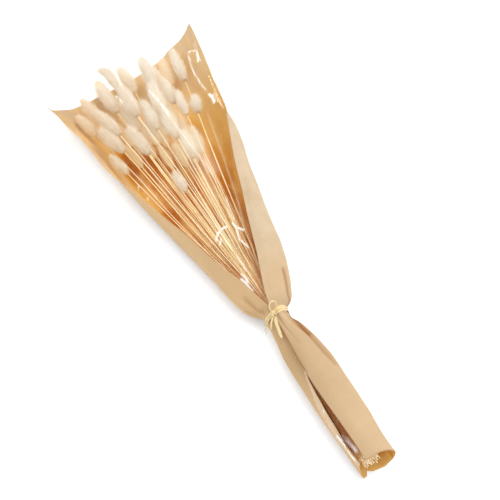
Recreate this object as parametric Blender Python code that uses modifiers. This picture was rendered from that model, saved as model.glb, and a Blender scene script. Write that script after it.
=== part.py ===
"""A bunch of dried bunny tail grass lying in its kraft paper wrap.

The bunch lies along +Y with its heads at +Y and its cut ends at -Y, and rests on z = 0.
Lengths below are millimetres. "Along" is the distance from the cut end of the wrap, and
"across" is the distance to the right of the wrap's middle. The meshes are made in metres.
"""
import math
import random

import bmesh
import bpy
import numpy as np

MM = 0.001

# Driving sizes of the whole bunch
WRAP_LENGTH = 604.0
TIE_ALONG = 205.0
NECK_ACROSS = 8.0
NECK_HEIGHT = 20.0
NECK_RADIUS = 13.3

# Kraft paper
PAPER_THICKNESS = 0.6
PAPER_COLOUR = (0.70, 0.50, 0.30, 1.0)
STATIONS = (0, 24, 58, 92, 118, 142, 162, 178, 190, 199, 209, 217, 228, 242, 262, 288,
            320, 356, 394, 430, 458, 482, 512, 542, 572, 600)
TOP_FLARE_START = 475.0
TOP_ALONG = 600.0
GATHER_WIDTH = 17.0
PLEAT_DEPTH = 1.6
PLEAT_POINTS = 4
# The fold in the tube's right side: how deep and wide it is, where it starts and where it
# ends, each with the length over which it fades.
SIDE_FOLD_DEPTH = 3.6
SIDE_FOLD_WIDTH = 0.8
SIDE_FOLD_START = (112.0, 30.0)
SIDE_FOLD_END = (199.0, 12.0)

# Clear film
FILM_THICKNESS = 0.5
FILM_GAP = 1.0
FILM_COLOUR = (0.93, 0.93, 0.92, 1.0)

# Raffia
RAFFIA_THICKNESS = 1.1
RAFFIA_COLOUR = (0.86, 0.72, 0.44, 1.0)
BAND_GAP = 0.45
BAND_STEPS = 28
# Two turns round the neck: place along from the tie, slant, width and lift over the first.
BAND_TURNS = ((-1.6, -1.0, 3.2, 0.0), (1.0, 1.2, 2.8, 0.37))
KNOT_PLACE = (0.6, 202.0, 35.4)
KNOT_HALF = (4.0, 4.0, 2.7)
BOW_LOOP = ((1.0, 202.0, 35.6), (4.5, 206.5, 38.4), (9.5, 211.5, 41.5), (14.5, 213.0, 43.2),
            (17.6, 210.0, 43.4), (16.0, 205.5, 41.6), (10.5, 203.0, 39.4), (2.0, 201.0, 36.4))
LOOP_OUT = (-0.35, -0.3, 0.88)
STRAND_OUT = (-0.6, -0.1, 0.8)
RAFFIA_STRANDS = (
    (BOW_LOOP, 2.2),
    (((0.4, 201.5, 35.4), (-3.8, 194.0, 32.6), (-6.8, 186.0, 28.8), (-7.4, 178.0, 26.4)), 3.0),
    (((1.0, 201.0, 35.6), (-0.8, 192.0, 34.6), (-2.6, 183.5, 32.2), (-3.0, 175.0, 31.0)), 2.6),
    (((-0.4, 201.8, 35.0), (-6.4, 196.5, 30.0), (-9.4, 190.0, 25.4)), 2.2),
    (((-1.2, 202.4, 34.8), (-8.4, 201.0, 28.2), (-10.2, 197.5, 20.0)), 1.6),
)

# Grass
STEM_RADIUS = 0.85
STEM_SIDES = 3
STEM_PITCH = 2.02
SLOT_SHIFT = 0.3
SLOT_REACH = 6
# A head's outline: where its curve starts, how much of it is used, its skew and fullness.
HEAD_START = 0.05
HEAD_SPAN = 0.93
HEAD_SKEW = 0.82
HEAD_FULLNESS = 0.62
TUFTS_AROUND = 12
TUFT_ROWS = 8
TUFT_RISE = 0.30
TUFT_SWEEP = 3.4
TUFT_FADE = 1.3
FIRST_RING = 0.5
RINGS_IN_LENGTH = 9.4
CLEARANCE = 0.45
GRASS_COLOUR = (0.84, 0.76, 0.62, 1.0)
HEADS_HIDDEN = 8
SEED = 11
HEAD_BOW = 1.2
NOD = (-9.0, -2.0, -1.0)
NOD_BEND = (2.0, -2.0, 1.0)
# The bundle below the head end: along, its middle, and how far its stems are spread.
CUT_ALONG = (3.0, 12.0)
FOOT_PLACE = (7.0, 17.0)
FOOT_SPREAD = 1.55
BUNDLE = ((50.0, (7.5, 16.5), 1.5), (110.0, (8.0, 17.0), 1.4), (165.0, (8.0, 19.0), 1.2),
          (197.0, (8.0, 20.0), 1.0), (213.0, (8.0, 20.0), 1.0), (238.0, (9.0, 21.0), 1.45))
PINNED_KNOTS = (0, 4, 5)
FREE_SHARES = (0.25, 0.5, 0.75)
# Making room between the grasses.
FIRST_PLANE = 10.0
PLANE_STEP = 6.0
LEAN_ROOM = 1.04
TURNS = 420
SETTLE_TURNS = 160
ROOM_STEP = 0.9
SMOOTHING = 0.06
HEAD_SPRING = 0.02
HEAD_EASE = 0.4
WALL_PUSH_LIMIT = 3.0
LEAST_AMOUNT = 0.35

# Each rail of the kraft sheet runs from the cut end to the top: (along, across, height).
LEFT_EDGE = ((0, -5, 31), (30, -7, 34), (112, -2, 36.5), (160, 3.5, 33.5), (190, 6, 31),
             (209, 6, 30.8), (215, 3, 32), (234, -5, 38), (257, -13, 41), (283, -23.5, 44),
             (330, -35.5, 47), (375, -49, 48), (410, -60, 47), (438, -69, 46), (474, -85, 49),
             (540, -94.5, 50), (600, -101.4, 50))
LEFT_SIDE = ((0, -6, 18), (40, -8.7, 20), (82, -10.7, 20), (119, -11.3, 20), (155, -10.6, 20),
             (180, -7, 21), (192, -5.3, 21), (210, -5.3, 21.2), (222, -15, 21), (236, -22, 22),
             (256, -27, 23), (280, -31, 24), (313, -36.5, 25), (355, -45, 26), (392, -54, 27),
             (430, -66, 30), (475, -80, 33), (600, -92, 35))
LEFT_CORNER = ((0, -2.5, 6.5), (100, -6, 6.5), (155, -4.5, 7.5), (195, -1.4, 10.6),
               (210, -1.4, 10.6), (222, -9, 9), (236, -15, 8), (256, -21, 7.5), (280, -26, 7),
               (313, -32, 7), (355, -41, 7), (392, -49, 8), (430, -58, 10), (475, -69, 13),
               (600, -76, 19))
LEFT_FLOOR = ((0, 5, 0), (100, 2, 0), (140, 2.5, 1), (170, 3, 4), (195, 3.6, 7.7),
              (210, 3.4, 7.7), (224, -3, 5), (240, -9, 1.5), (262, -15, 0), (313, -24, 0),
              (392, -38, 0), (475, -50, 0), (600, -52, 5))
RIGHT_FLOOR = ((0, 23, 0), (100, 21, 0), (140, 18, 1), (170, 14, 4), (195, 12.4, 7.7),
               (210, 12.6, 7.7), (224, 18, 5), (240, 25, 1.5), (262, 31, 0), (313, 42, 0),
               (392, 54, 0), (475, 60, 0), (600, 52, 3))
RIGHT_CORNER = ((0, 31, 8), (100, 30, 6.5), (155, 25.5, 8), (190, 17.5, 10.7),
                (210, 17.6, 10.6), (222, 27, 9), (236, 34, 8), (262, 43, 7), (313, 53, 7),
                (392, 66, 8), (475, 74, 11), (600, 76, 13))
RIGHT_SIDE = ((0, 34.5, 24), (50, 34, 23), (100, 34, 22.5), (132, 33.5, 22), (150, 31.8, 21.5),
              (168, 28.3, 21), (190, 21.8, 20), (199, 21.3, 20), (209, 21.3, 20.2),
              (219, 33, 23), (247, 46, 26), (281, 55, 29), (313, 60.5, 31), (347, 67, 34),
              (398, 76.5, 36), (426, 81.5, 38), (451, 84.5, 39), (475, 84.5, 36), (600, 90, 28))
RIGHT_SHOULDER = ((0, 29, 35), (100, 28.5, 37.5), (155, 24, 36.5), (190, 17.6, 29.6),
                  (209, 17.4, 29.4), (219, 26, 35), (247, 36, 42), (281, 44, 46),
                  (313, 50, 48), (347, 57, 50), (398, 69, 53), (426, 76, 54.5),
                  (451, 80.5, 53), (475, 84.5, 48), (600, 97.5, 44))
RIGHT_FLAP = ((0, 13, 42), (100, 13, 43), (155, 12, 39.5), (190, 9, 33.2), (209, 9, 33.2),
              (219, 15, 38), (247, 25, 44.5), (281, 33.5, 48.5), (313, 41, 50.5),
              (347, 49.5, 52.5), (398, 63.5, 56), (426, 72, 57), (451, 79.5, 56),
              (475, 84.2, 53.5), (600, 99.5, 53))
RIGHT_EDGE = ((0, -1, 40), (43, -1.5, 41.5), (100, -3, 41.3), (132, -3.5, 39.5),
              (164, -1, 35.8), (190, 1.5, 32.4), (209, 2, 32), (215, 3.8, 34.5), (223, 5, 38),
              (272, 20, 46), (312, 31.5, 50), (344, 41.5, 53), (385, 53.6, 55),
              (434, 70.4, 57), (464, 81.8, 57), (482, 84.5, 58), (501, 87.1, 60),
              (600, 101.4, 62))
SHEET_RAILS = (LEFT_EDGE, LEFT_SIDE, LEFT_CORNER, LEFT_FLOOR, RIGHT_FLOOR, RIGHT_CORNER,
               RIGHT_SIDE, RIGHT_SHOULDER, RIGHT_FLAP, RIGHT_EDGE)
# How far along each rail ends, because the sheet was cut on a slant and its corners curl.
RAIL_ENDS = (569, 571, 575, 582, 599, 604, 600, 597, 595, 593)
STEPS_BETWEEN_RAILS = (4, 4, 4, 4, 4, 4, 3, 3, 4)

# Rails of the film below and at the neck; above it the film follows the paper's edges.
FILM_FREE = (((0, -3, 14), (100, -7.5, 14), (160, -5, 15), (196, 0.2, 17), (214, 0.2, 17)),
             ((0, -4.5, 26), (100, -8, 26), (160, -5, 25), (196, 0.6, 23.4), (214, 0.6, 23.4)),
             ((0, -1, 34), (100, -2, 32), (160, 1, 29), (196, 3.6, 26.8), (214, 3.6, 26.8)),
             ((0, 8, 37), (100, 6, 35.5), (160, 6, 31), (196, 8, 28.1), (214, 8, 28.1)),
             ((0, 16, 38), (100, 15, 36), (160, 12, 31), (196, 12.4, 26.8), (214, 12.4, 26.8)),
             ((0, 25, 34), (100, 24, 33), (160, 19, 28), (196, 15.4, 23.4), (214, 15.4, 23.4)),
             ((0, 30, 25), (100, 30, 26), (160, 23, 23), (196, 15.8, 17), (214, 15.8, 17)))
FILM_STATIONS = STATIONS[:-1]
FILM_INSET = 3.0
FILM_CROWN = ((242, 0), (288, -2), (356, 1), (430, 5), (482, 5), (572, 2))
FILM_BLEND = (214.0, 242.0)
# The film keeps a wider gap from the paper below here, where both rise steeply.
FILM_STEEP = (290.0, 40.0)
FILM_BRIDGE_POINTS = 9
# Points of a paper section that the film's margins lie against.
FILM_LEFT_HOLD = (4, 2, 1)
FILM_RIGHT_HOLD = (-2, -4, -7)

# Heads that show: (across, along, height) of the base, the same of the tip, diameter.
SEEN_HEADS = (
    ((31, 541, 34), (35, 594, 36), 19), ((42, 538, 19), (47, 586, 17), 16),
    ((12, 556, 25), (10, 602, 22), 17), ((-10, 560, 32), (-10, 598, 33), 14),
    ((-19, 558, 15), (-20, 602, 12), 15), ((-26, 531, 33), (-27, 579, 32), 17),
    ((-8, 508, 41), (-5, 557, 42), 18), ((1, 481, 40), (3, 528, 41), 15),
    ((16, 498, 40), (18, 545, 41), 17), ((22, 479, 24), (24, 524, 26), 16),
    ((40, 512, 32), (43, 551, 34), 14), ((58, 552, 14), (63, 598, 12), 14),
    ((70, 539, 30), (75, 590, 31), 15), ((61, 486, 30), (66, 515, 42), 16),
    ((43, 486, 37), (48, 524, 39), 12), ((-47, 534, 24), (-54, 578, 22), 14),
    ((-36, 494, 40), (-49, 537, 40), 16), ((-43, 471, 39), (-60, 514, 37), 17),
    ((-64, 519, 18), (-73, 556, 20), 14), ((-59, 446, 30), (-64, 480, 30), 12),
    ((-19, 453, 40), (-26, 500, 41), 16), ((15, 455, 41), (19, 498, 42), 15),
    ((20, 428, 34), (25, 472, 35), 15), ((-8, 388, 37), (-7, 418, 38), 12),
    ((-12, 500, 24), (-11, 543, 24), 16), ((-10, 470, 23), (-9, 515, 22), 15),
    ((34, 492, 17), (39, 538, 15), 15), ((37, 436, 24), (43, 477, 24), 14),
    ((-44, 520, 10), (-50, 560, 10), 14), ((-17, 518, 10), (-16, 563, 9), 15),
)
NODDING_HEAD = 3
# Hidden heads lie low in the wrap: how far along they start, across, and their size.
HIDDEN_ALONG = (430.0, 500.0)
HIDDEN_ACROSS = (-34.0, 44.0)
HIDDEN_LENGTH = 40.0
HIDDEN_DIAMETER = 13.0
HIDDEN_HEIGHT = 10.0
HIDDEN_LEAN = 3.0
HIDDEN_SPREAD = 1.1


def clear_scene():
    for item in list(bpy.data.objects):
        bpy.data.objects.remove(item, do_unlink=True)


def make_collection(name):
    collection = bpy.data.collections.new(name)
    bpy.context.scene.collection.children.link(collection)
    return collection


def make_material(name, colour, roughness, alpha=1.0):
    material = bpy.data.materials.new(name)
    material.use_nodes = True
    shader = material.node_tree.nodes["Principled BSDF"]
    shader.inputs["Base Color"].default_value = colour
    shader.inputs["Roughness"].default_value = roughness
    shader.inputs["Metallic"].default_value = 0.0
    shader.inputs["Alpha"].default_value = alpha
    return material


def add_object(name, vertices, faces, collection, material):
    """Make an object from points in millimetres: (across, along, height)."""
    mesh = bpy.data.meshes.new(name)
    points = [(x * MM, (y - WRAP_LENGTH / 2) * MM, z * MM) for x, y, z in vertices]
    mesh.from_pydata(points, [], faces)
    mesh.update()
    item = bpy.data.objects.new(name, mesh)
    collection.objects.link(item)
    mesh.materials.append(material)
    return item


def face_outwards(item):
    shell = bmesh.new()
    shell.from_mesh(item.data)
    bmesh.ops.recalc_face_normals(shell, faces=shell.faces)
    shell.to_mesh(item.data)
    shell.free()
    return item


def smooth_step(value):
    value = np.clip(value, 0.0, 1.0)
    return value * value * (3.0 - 2.0 * value)


def follow(rail, along):
    """Read (across, height) of a rail by a cubic that never overshoots its points."""
    table = np.array(rail, dtype=float)
    knots, values = table[:, 0], table[:, 1:]
    gaps = np.diff(knots)[:, None]
    slopes = np.diff(values, axis=0) / gaps
    tangents = np.zeros_like(values)
    product = slopes[:-1] * slopes[1:]
    total = slopes[:-1] + slopes[1:]
    safe = np.where(np.abs(total) > 1e-9, total, 1.0)
    tangents[1:-1] = np.where(product > 0, 2.0 * product / safe, 0.0)
    tangents[0], tangents[-1] = slopes[0], slopes[-1]
    place = float(np.clip(along, knots[0], knots[-1]))
    index = int(min(np.searchsorted(knots, place, side="right") - 1, len(knots) - 2))
    width = knots[index + 1] - knots[index]
    t = (place - knots[index]) / width
    return ((2 * t ** 3 - 3 * t ** 2 + 1) * values[index]
            + (t ** 3 - 2 * t ** 2 + t) * width * tangents[index]
            + (3 * t ** 2 - 2 * t ** 3) * values[index + 1]
            + (t ** 3 - t ** 2) * width * tangents[index + 1])


def spline_through(points, steps):
    """A Catmull-Rom curve through flat points, with its own step count for each span."""
    points = np.asarray(points, dtype=float)
    padded = np.vstack([2 * points[0] - points[1], points, 2 * points[-1] - points[-2]])
    curve = []
    for span, count in enumerate(steps):
        p0, p1, p2, p3 = padded[span:span + 4]
        reach = (np.linalg.norm(p1 - p0) ** 0.5, np.linalg.norm(p2 - p1) ** 0.5,
                 np.linalg.norm(p3 - p2) ** 0.5)
        m1 = (p2 - p1 + reach[1] * ((p1 - p0) / reach[0] - (p2 - p0) / (reach[0] + reach[1])))
        m2 = (p2 - p1 + reach[1] * ((p3 - p2) / reach[2] - (p3 - p1) / (reach[1] + reach[2])))
        for step in range(count):
            t = step / count
            curve.append((2 * t ** 3 - 3 * t ** 2 + 1) * p1 + (t ** 3 - 2 * t ** 2 + t) * m1
                         + (3 * t ** 2 - 2 * t ** 3) * p2 + (t ** 3 - t ** 2) * m2)
    curve.append(points[-1])
    return np.array(curve)


def inward_normals(section):
    """Unit normals of a section, to the left of its direction of travel."""
    travel = np.gradient(section, axis=0)
    normals = np.stack([-travel[:, 1], travel[:, 0]], axis=1)
    return normals / np.linalg.norm(normals, axis=1)[:, None]


def pleats(along, count):
    """How far each point of a section is drawn in: gathers at the neck, a fold below it."""
    index = np.arange(count)
    gather = math.exp(-((along - TIE_ALONG) / GATHER_WIDTH) ** 2)
    inner = smooth_step((index - 5) / 3.0) * smooth_step((count - 7 - index) / 3.0)
    depth = PLEAT_DEPTH * gather * inner * (1 - np.cos(2 * math.pi * index / PLEAT_POINTS))
    fold_at = sum(STEPS_BETWEEN_RAILS[:7])
    fold = (smooth_step((along - SIDE_FOLD_START[0]) / SIDE_FOLD_START[1])
            * smooth_step((SIDE_FOLD_END[0] - along) / SIDE_FOLD_END[1]))
    shape = np.exp(-((index - fold_at) / SIDE_FOLD_WIDTH) ** 2)
    return depth + SIDE_FOLD_DEPTH * fold * shape


def sheet_section(along):
    """The outer face of the kraft sheet at one station, left edge to right edge."""
    rails = [follow(rail, along) for rail in SHEET_RAILS]
    section = spline_through(rails, STEPS_BETWEEN_RAILS)
    section = section + inward_normals(section) * pleats(along, len(section))[:, None]
    section[:, 1] = np.maximum(section[:, 1], 0.0)
    return section


def sheet_along(along):
    """Where each point of a station lies along the bunch, with the slanted top cut."""
    stops = np.cumsum((0,) + STEPS_BETWEEN_RAILS)
    ends = np.interp(np.arange(stops[-1] + 1), stops, RAIL_ENDS)
    share = smooth_step((along - TOP_FLARE_START) / (TOP_ALONG - TOP_FLARE_START))
    return along + (ends - TOP_ALONG) * share


def sheet_grid(sections, alongs):
    """Points and four-sided faces of a sheet lofted through its stations."""
    wide = len(sections[0])
    points = [(x, y, z) for section, along in zip(sections, alongs)
              for (x, z), y in zip(section, along)]
    faces = [(row * wide + col, row * wide + col + 1,
              (row + 1) * wide + col + 1, (row + 1) * wide + col)
             for row in range(len(sections) - 1) for col in range(wide - 1)]
    return points, faces


def thicken(item, thickness, offset):
    solid = item.modifiers.new("Thickness", "SOLIDIFY")
    solid.thickness = thickness * MM
    solid.offset = offset
    return item


def make_kraft_wrap(collection):
    sections = [sheet_section(along) for along in STATIONS]
    alongs = [sheet_along(along) for along in STATIONS]
    points, faces = sheet_grid(sections, alongs)
    faces = [face[::-1] for face in faces]
    material = make_material("kraft paper", PAPER_COLOUR, 0.85)
    wrap = add_object("kraft_wrap", points, faces, collection, material)
    return thicken(wrap, PAPER_THICKNESS, -1.0)


def film_section(along):
    """The outer face of the film, left margin to right margin, over the grass."""
    free = spline_through([follow(rail, along) for rail in FILM_FREE], (2,) * 6)
    if along <= FILM_BLEND[0]:
        return free
    paper = sheet_section(along)
    steep = smooth_step((FILM_STEEP[0] - along) / FILM_STEEP[1])
    inside = paper + inward_normals(paper) * (PAPER_THICKNESS + FILM_GAP * (1 + steep))
    left = inside[list(FILM_LEFT_HOLD)]
    right = inside[list(FILM_RIGHT_HOLD)]
    crown = np.interp(along, *zip(*FILM_CROWN))
    share = np.linspace(0.0, 1.0, FILM_BRIDGE_POINTS)[1:-1, None]
    bridge = left[-1] * (1 - share) + right[0] * share
    bridge[:, 1] += crown * 4 * (share * (1 - share))[:, 0]
    held = np.vstack([left, bridge, right])
    mix = smooth_step((along - FILM_BLEND[0]) / (FILM_BLEND[1] - FILM_BLEND[0]))
    return free * (1 - mix) + held * mix


def film_along(along):
    """Where each point of a film station lies along the bunch, level with the paper."""
    paper = sheet_along(along)
    left = paper[list(FILM_LEFT_HOLD)]
    right = paper[list(FILM_RIGHT_HOLD)]
    bridge = np.linspace(left[-1], right[0], FILM_BRIDGE_POINTS)[1:-1]
    return np.maximum(np.concatenate([left, bridge, right]), FILM_INSET)


def make_clear_film(collection):
    sections = [film_section(along) for along in FILM_STATIONS]
    alongs = [film_along(along) for along in FILM_STATIONS]
    points, faces = sheet_grid(sections, alongs)
    material = make_material("clear film", FILM_COLOUR, 0.08, alpha=0.25)
    film = add_object("clear_film", points, faces, collection, material)
    return thicken(film, FILM_THICKNESS, -1.0)


def head_radius(diameter, share):
    """Half the width of a head, at a share of its length from base to tip."""
    turn = math.pi * (HEAD_START + HEAD_SPAN * share) ** HEAD_SKEW
    return diameter / 2 * np.sin(turn) ** HEAD_FULLNESS


def stem_slots(count):
    """Places of the stems in the tie: the nearest points of a close-packed grid."""
    spots = []
    for row in range(-SLOT_REACH, SLOT_REACH + 1):
        for column in range(-SLOT_REACH, SLOT_REACH + 1):
            across = (column + 0.5 * (row % 2)) * STEM_PITCH
            spots.append((across - SLOT_SHIFT, row * STEM_PITCH * math.sqrt(3) / 2))
    spots.sort(key=lambda spot: math.hypot(*spot))
    return np.array(spots[:count])


def match_slots(heads, slots):
    """Give each head the slot that lies the same way from the middle, so no stems cross."""
    places = np.array([head[0] for head in heads], dtype=float)[:, [0, 2]]
    middle = (places.max(axis=0) + places.min(axis=0)) / 2
    reach = (places.max(axis=0) - places.min(axis=0)) / 2
    places = (places - middle) / reach * np.abs(slots).max()
    order = list(range(len(heads)))
    improved = True
    while improved:
        improved = False
        for one in range(len(order)):
            for two in range(one + 1, len(order)):
                first, second = slots[order[one]], slots[order[two]]
                kept = np.sum((places[one] - first) ** 2) + np.sum((places[two] - second) ** 2)
                swapped = (np.sum((places[one] - second) ** 2)
                           + np.sum((places[two] - first) ** 2))
                if swapped < kept - 1e-9:
                    order[one], order[two] = order[two], order[one]
                    improved = True
    return slots[order]


def all_heads():
    """The heads that show, and a seeded few that lie under them."""
    heads = list(SEEN_HEADS)
    draw = random.Random(SEED)
    for index in range(HEADS_HIDDEN):
        share = (index + 0.5) / HEADS_HIDDEN
        across = HIDDEN_ACROSS[0] + share * (HIDDEN_ACROSS[1] - HIDDEN_ACROSS[0])
        start = draw.uniform(*HIDDEN_ALONG)
        lean = draw.uniform(-HIDDEN_LEAN, HIDDEN_LEAN)
        heads.append(((across, start, HIDDEN_HEIGHT),
                      (across * HIDDEN_SPREAD + lean, start + HIDDEN_LENGTH, HIDDEN_HEIGHT),
                      HIDDEN_DIAMETER))
    return heads


def first_routes(heads, slots):
    """The knots of each grass from cut end to tip, before they make room for each other."""
    draw = random.Random(SEED + 1)
    places = match_slots(heads, slots)
    alongs, routes = [], []
    for (base, tip, _), slot in zip(heads, places):
        cut = draw.uniform(*CUT_ALONG)
        knots = [(cut, FOOT_PLACE, FOOT_SPREAD), *BUNDLE]
        route = [np.array(middle) + slot * spread for _, middle, spread in knots]
        along = [knot[0] for knot in knots]
        start, end = route[-1], np.array((base[0], base[2]), dtype=float)
        for share in FREE_SHARES:
            along.append(along[len(knots) - 1] * (1 - share) + base[1] * share)
            route.append(start * (1 - share) + end * share)
        along += [base[1], tip[1]]
        route += [end, np.array((tip[0], tip[2]), dtype=float)]
        alongs.append(along)
        routes.append(route)
    return np.array(alongs), np.array(routes)


def nearest_on(line, points):
    """For each point, the nearest place on a line of segments and that segment's travel."""
    start, travel = line[:-1], np.diff(line, axis=0)
    offset = points[:, None, :] - start[None]
    length = np.sum(travel ** 2, axis=1)
    share = np.clip(np.sum(offset * travel[None], axis=2) / length[None], 0.0, 1.0)
    place = start[None] + share[:, :, None] * travel[None]
    distance = np.linalg.norm(points[:, None, :] - place, axis=2)
    best = np.argmin(distance, axis=1)
    rows = np.arange(len(points))
    return place[rows, best], travel[best] / np.sqrt(length[best])[:, None]


def push_from_wall(line, points, need):
    """How far points must move to stay on the left of a wall, as its line travels."""
    place, travel = nearest_on(line, points)
    normal = np.stack([-travel[:, 1], travel[:, 0]], axis=1)
    depth = np.sum((points - place) * normal, axis=1)
    return normal * np.clip(need - depth, 0.0, WALL_PUSH_LIMIT)[:, None]


def make_room(alongs, routes, diameters):
    """Move the grasses apart, plane by plane, until none touches another, paper or film."""
    planes = np.arange(FIRST_PLANE, WRAP_LENGTH, PLANE_STEP)
    count, knots = alongs.shape
    weights = np.zeros((count, len(planes), knots))
    radii = np.zeros((count, len(planes)))
    for grass in range(count):
        for knot in range(knots):
            share = np.zeros(knots)
            share[knot] = 1.0
            weights[grass, :, knot] = np.interp(planes, alongs[grass], share)
        base, tip = alongs[grass, -2], alongs[grass, -1]
        in_head = (planes > base - 2.0) & (planes < tip + 1.0)
        share = np.clip((planes - base) / (tip - base), 0.0, 1.0)
        radii[grass] = np.where(in_head, head_radius(diameters[grass], share) * LEAN_ROOM,
                                STEM_RADIUS)
        gone = (planes < alongs[grass, 0] - PLANE_STEP) | (planes > tip + 1.0)
        radii[grass, gone] = 0.0
        weights[grass, gone] = 0.0
    live = radii > 0
    papers = [sheet_section(plane) for plane in planes]
    films = [film_section(plane) if plane < FILM_STATIONS[-1] else None for plane in planes]
    free_knots = np.ones(knots)
    free_knots[list(PINNED_KNOTS)] = 0.0
    wanted = routes.copy()
    pairs = live[:, None, :] & live[None, :, :]
    pairs &= ~np.eye(count, dtype=bool)[:, :, None]
    needed = radii[:, None, :] + radii[None, :, :] + CLEARANCE
    ease = np.where(radii > 2 * STEM_RADIUS, HEAD_EASE, 1.0)
    part_of = ease[:, None, :] / (ease[:, None, :] + ease[None, :, :])
    for turn in range(TURNS):
        points = np.einsum("gpk,gkc->gpc", weights, routes)
        apart = points[:, None] - points[None]
        distance = np.linalg.norm(apart, axis=3) + 1e-9
        short = np.where(pairs, np.clip(needed - distance, 0.0, None), 0.0)
        move = np.sum(apart / distance[..., None] * (short * part_of)[..., None], axis=1)
        for index in range(len(planes)):
            rows = np.nonzero(live[:, index])[0]
            if len(rows) == 0:
                continue
            need = radii[rows, index] + PAPER_THICKNESS + CLEARANCE
            move[rows, index] += push_from_wall(papers[index], points[rows, index], need)
            if films[index] is not None:
                need = radii[rows, index] + FILM_THICKNESS + CLEARANCE
                move[rows, index] += push_from_wall(films[index][::-1], points[rows, index],
                                                    need)
        moved = np.linalg.norm(move, axis=2) > 1e-6
        total = np.einsum("gpk,gpc->gkc", weights, move)
        amount = np.einsum("gpk,gp->gk", weights, moved.astype(float))
        step = total / np.maximum(amount, LEAST_AMOUNT)[..., None]
        routes = routes + ROOM_STEP * step * free_knots[None, :, None]
        if turn < TURNS - SETTLE_TURNS:
            spans = np.diff(alongs, axis=1)
            before, after = spans[:, :-1], spans[:, 1:]
            middle = ((routes[:, :-2] * after[..., None] + routes[:, 2:] * before[..., None])
                      / (before + after)[..., None])
            pull = SMOOTHING * (middle - routes[:, 1:-1])
            routes[:, 1:-1] += pull * free_knots[None, 1:-1, None]
            routes[:, -2:] += HEAD_SPRING * (wanted[:, -2:] - routes[:, -2:])
    print("least room short by", round(float(short.max()), 3), "mm")
    return routes


def ring(centre, axis, radius, sides):
    """Points round a centre, square to an axis."""
    axis = np.array(axis) / np.linalg.norm(axis)
    side = np.cross(axis, (0.0, 0.0, 1.0))
    side /= np.linalg.norm(side)
    upward = np.cross(side, axis)
    angles = [2 * math.pi * index / sides for index in range(sides)]
    return [np.array(centre) + radius * (math.cos(angle) * side + math.sin(angle) * upward)
            for angle in angles]


def head_axis(base, tip, nodding):
    """A head's middle line as a curve that a share from 0 to 1 runs along."""
    base, tip = np.array(base), np.array(tip)
    bend = (base + tip) / 2 + np.array((0.0, 0.0, HEAD_BOW))
    if nodding:
        bend = tip + np.array(NOD_BEND)
        tip = tip + np.array(NOD)
    return lambda share: ((1 - share) ** 2 * base + 2 * share * (1 - share) * bend
                          + share ** 2 * tip)


def make_grass(name, along, route, diameter, nodding, collection, material):
    """One grass: a three-sided straw that opens into a head raised all over in tufts."""
    centres = [np.array((x, y, z)) for (x, z), y in zip(route, along)]
    vertices = []
    for centre in centres[:-1]:
        vertices += ring(centre, (0.0, 1.0, 0.0), STEM_RADIUS, STEM_SIDES)
    faces = [tuple(range(STEM_SIDES))[::-1]]
    for row in range(len(centres) - 2):
        for side in range(STEM_SIDES):
            next_side = (side + 1) % STEM_SIDES
            faces.append((row * STEM_SIDES + side, row * STEM_SIDES + next_side,
                          (row + 1) * STEM_SIDES + next_side, (row + 1) * STEM_SIDES + side))
    top = (len(centres) - 2) * STEM_SIDES
    middle = head_axis(centres[-2], centres[-1], nodding)
    first = len(vertices)
    for row in range(TUFT_ROWS + 1):
        share = (row + FIRST_RING) / RINGS_IN_LENGTH
        centre = middle(share)
        axis = middle(share + 0.03) - middle(share - 0.03)
        forward = axis / np.linalg.norm(axis) * TUFT_SWEEP
        radius = head_radius(diameter, share)
        low = ring(centre, axis, radius * (1 - TUFT_RISE), TUFTS_AROUND)
        high = ring(centre, axis, radius, TUFTS_AROUND)
        for around in range(TUFTS_AROUND):
            is_tuft = (around + row) % 2 == 0 and 0 < row
            vertices.append(high[around] + forward * min(1.0, TUFT_FADE - share) if is_tuft
                            else low[around])
    tip_vertex = len(vertices)
    vertices.append(middle(1.0))
    for side in range(STEM_SIDES):
        per_side = TUFTS_AROUND // STEM_SIDES
        for step in range(per_side):
            around = side * per_side + step
            faces.append((top + side, first + around, first + (around + 1) % TUFTS_AROUND)[::-1])
        faces.append((top + side, first + (around + 1) % TUFTS_AROUND,
                      top + (side + 1) % STEM_SIDES)[::-1])
    for row in range(TUFT_ROWS):
        for around in range(TUFTS_AROUND):
            a = first + row * TUFTS_AROUND + around
            b = first + row * TUFTS_AROUND + (around + 1) % TUFTS_AROUND
            c, d = b + TUFTS_AROUND, a + TUFTS_AROUND
            if (around + row) % 2 == 0:
                faces += [(a, b, d), (b, c, d)]
            else:
                faces += [(a, b, c), (a, c, d)]
    last = first + TUFT_ROWS * TUFTS_AROUND
    for around in range(TUFTS_AROUND):
        faces.append((last + around, last + (around + 1) % TUFTS_AROUND, tip_vertex))
    return face_outwards(add_object(name, vertices, faces, collection, material))


def make_grasses(collection):
    heads = all_heads()
    slots = stem_slots(len(heads))
    alongs, routes = first_routes(heads, slots)
    diameters = [head[2] for head in heads]
    routes = make_room(alongs, routes, diameters)
    material = make_material("dried grass", GRASS_COLOUR, 0.9)
    for index, (along, route, diameter) in enumerate(zip(alongs, routes, diameters)):
        make_grass(f"grass_{index + 1:02d}", along, route, diameter, index == NODDING_HEAD,
                   collection, material)


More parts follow.
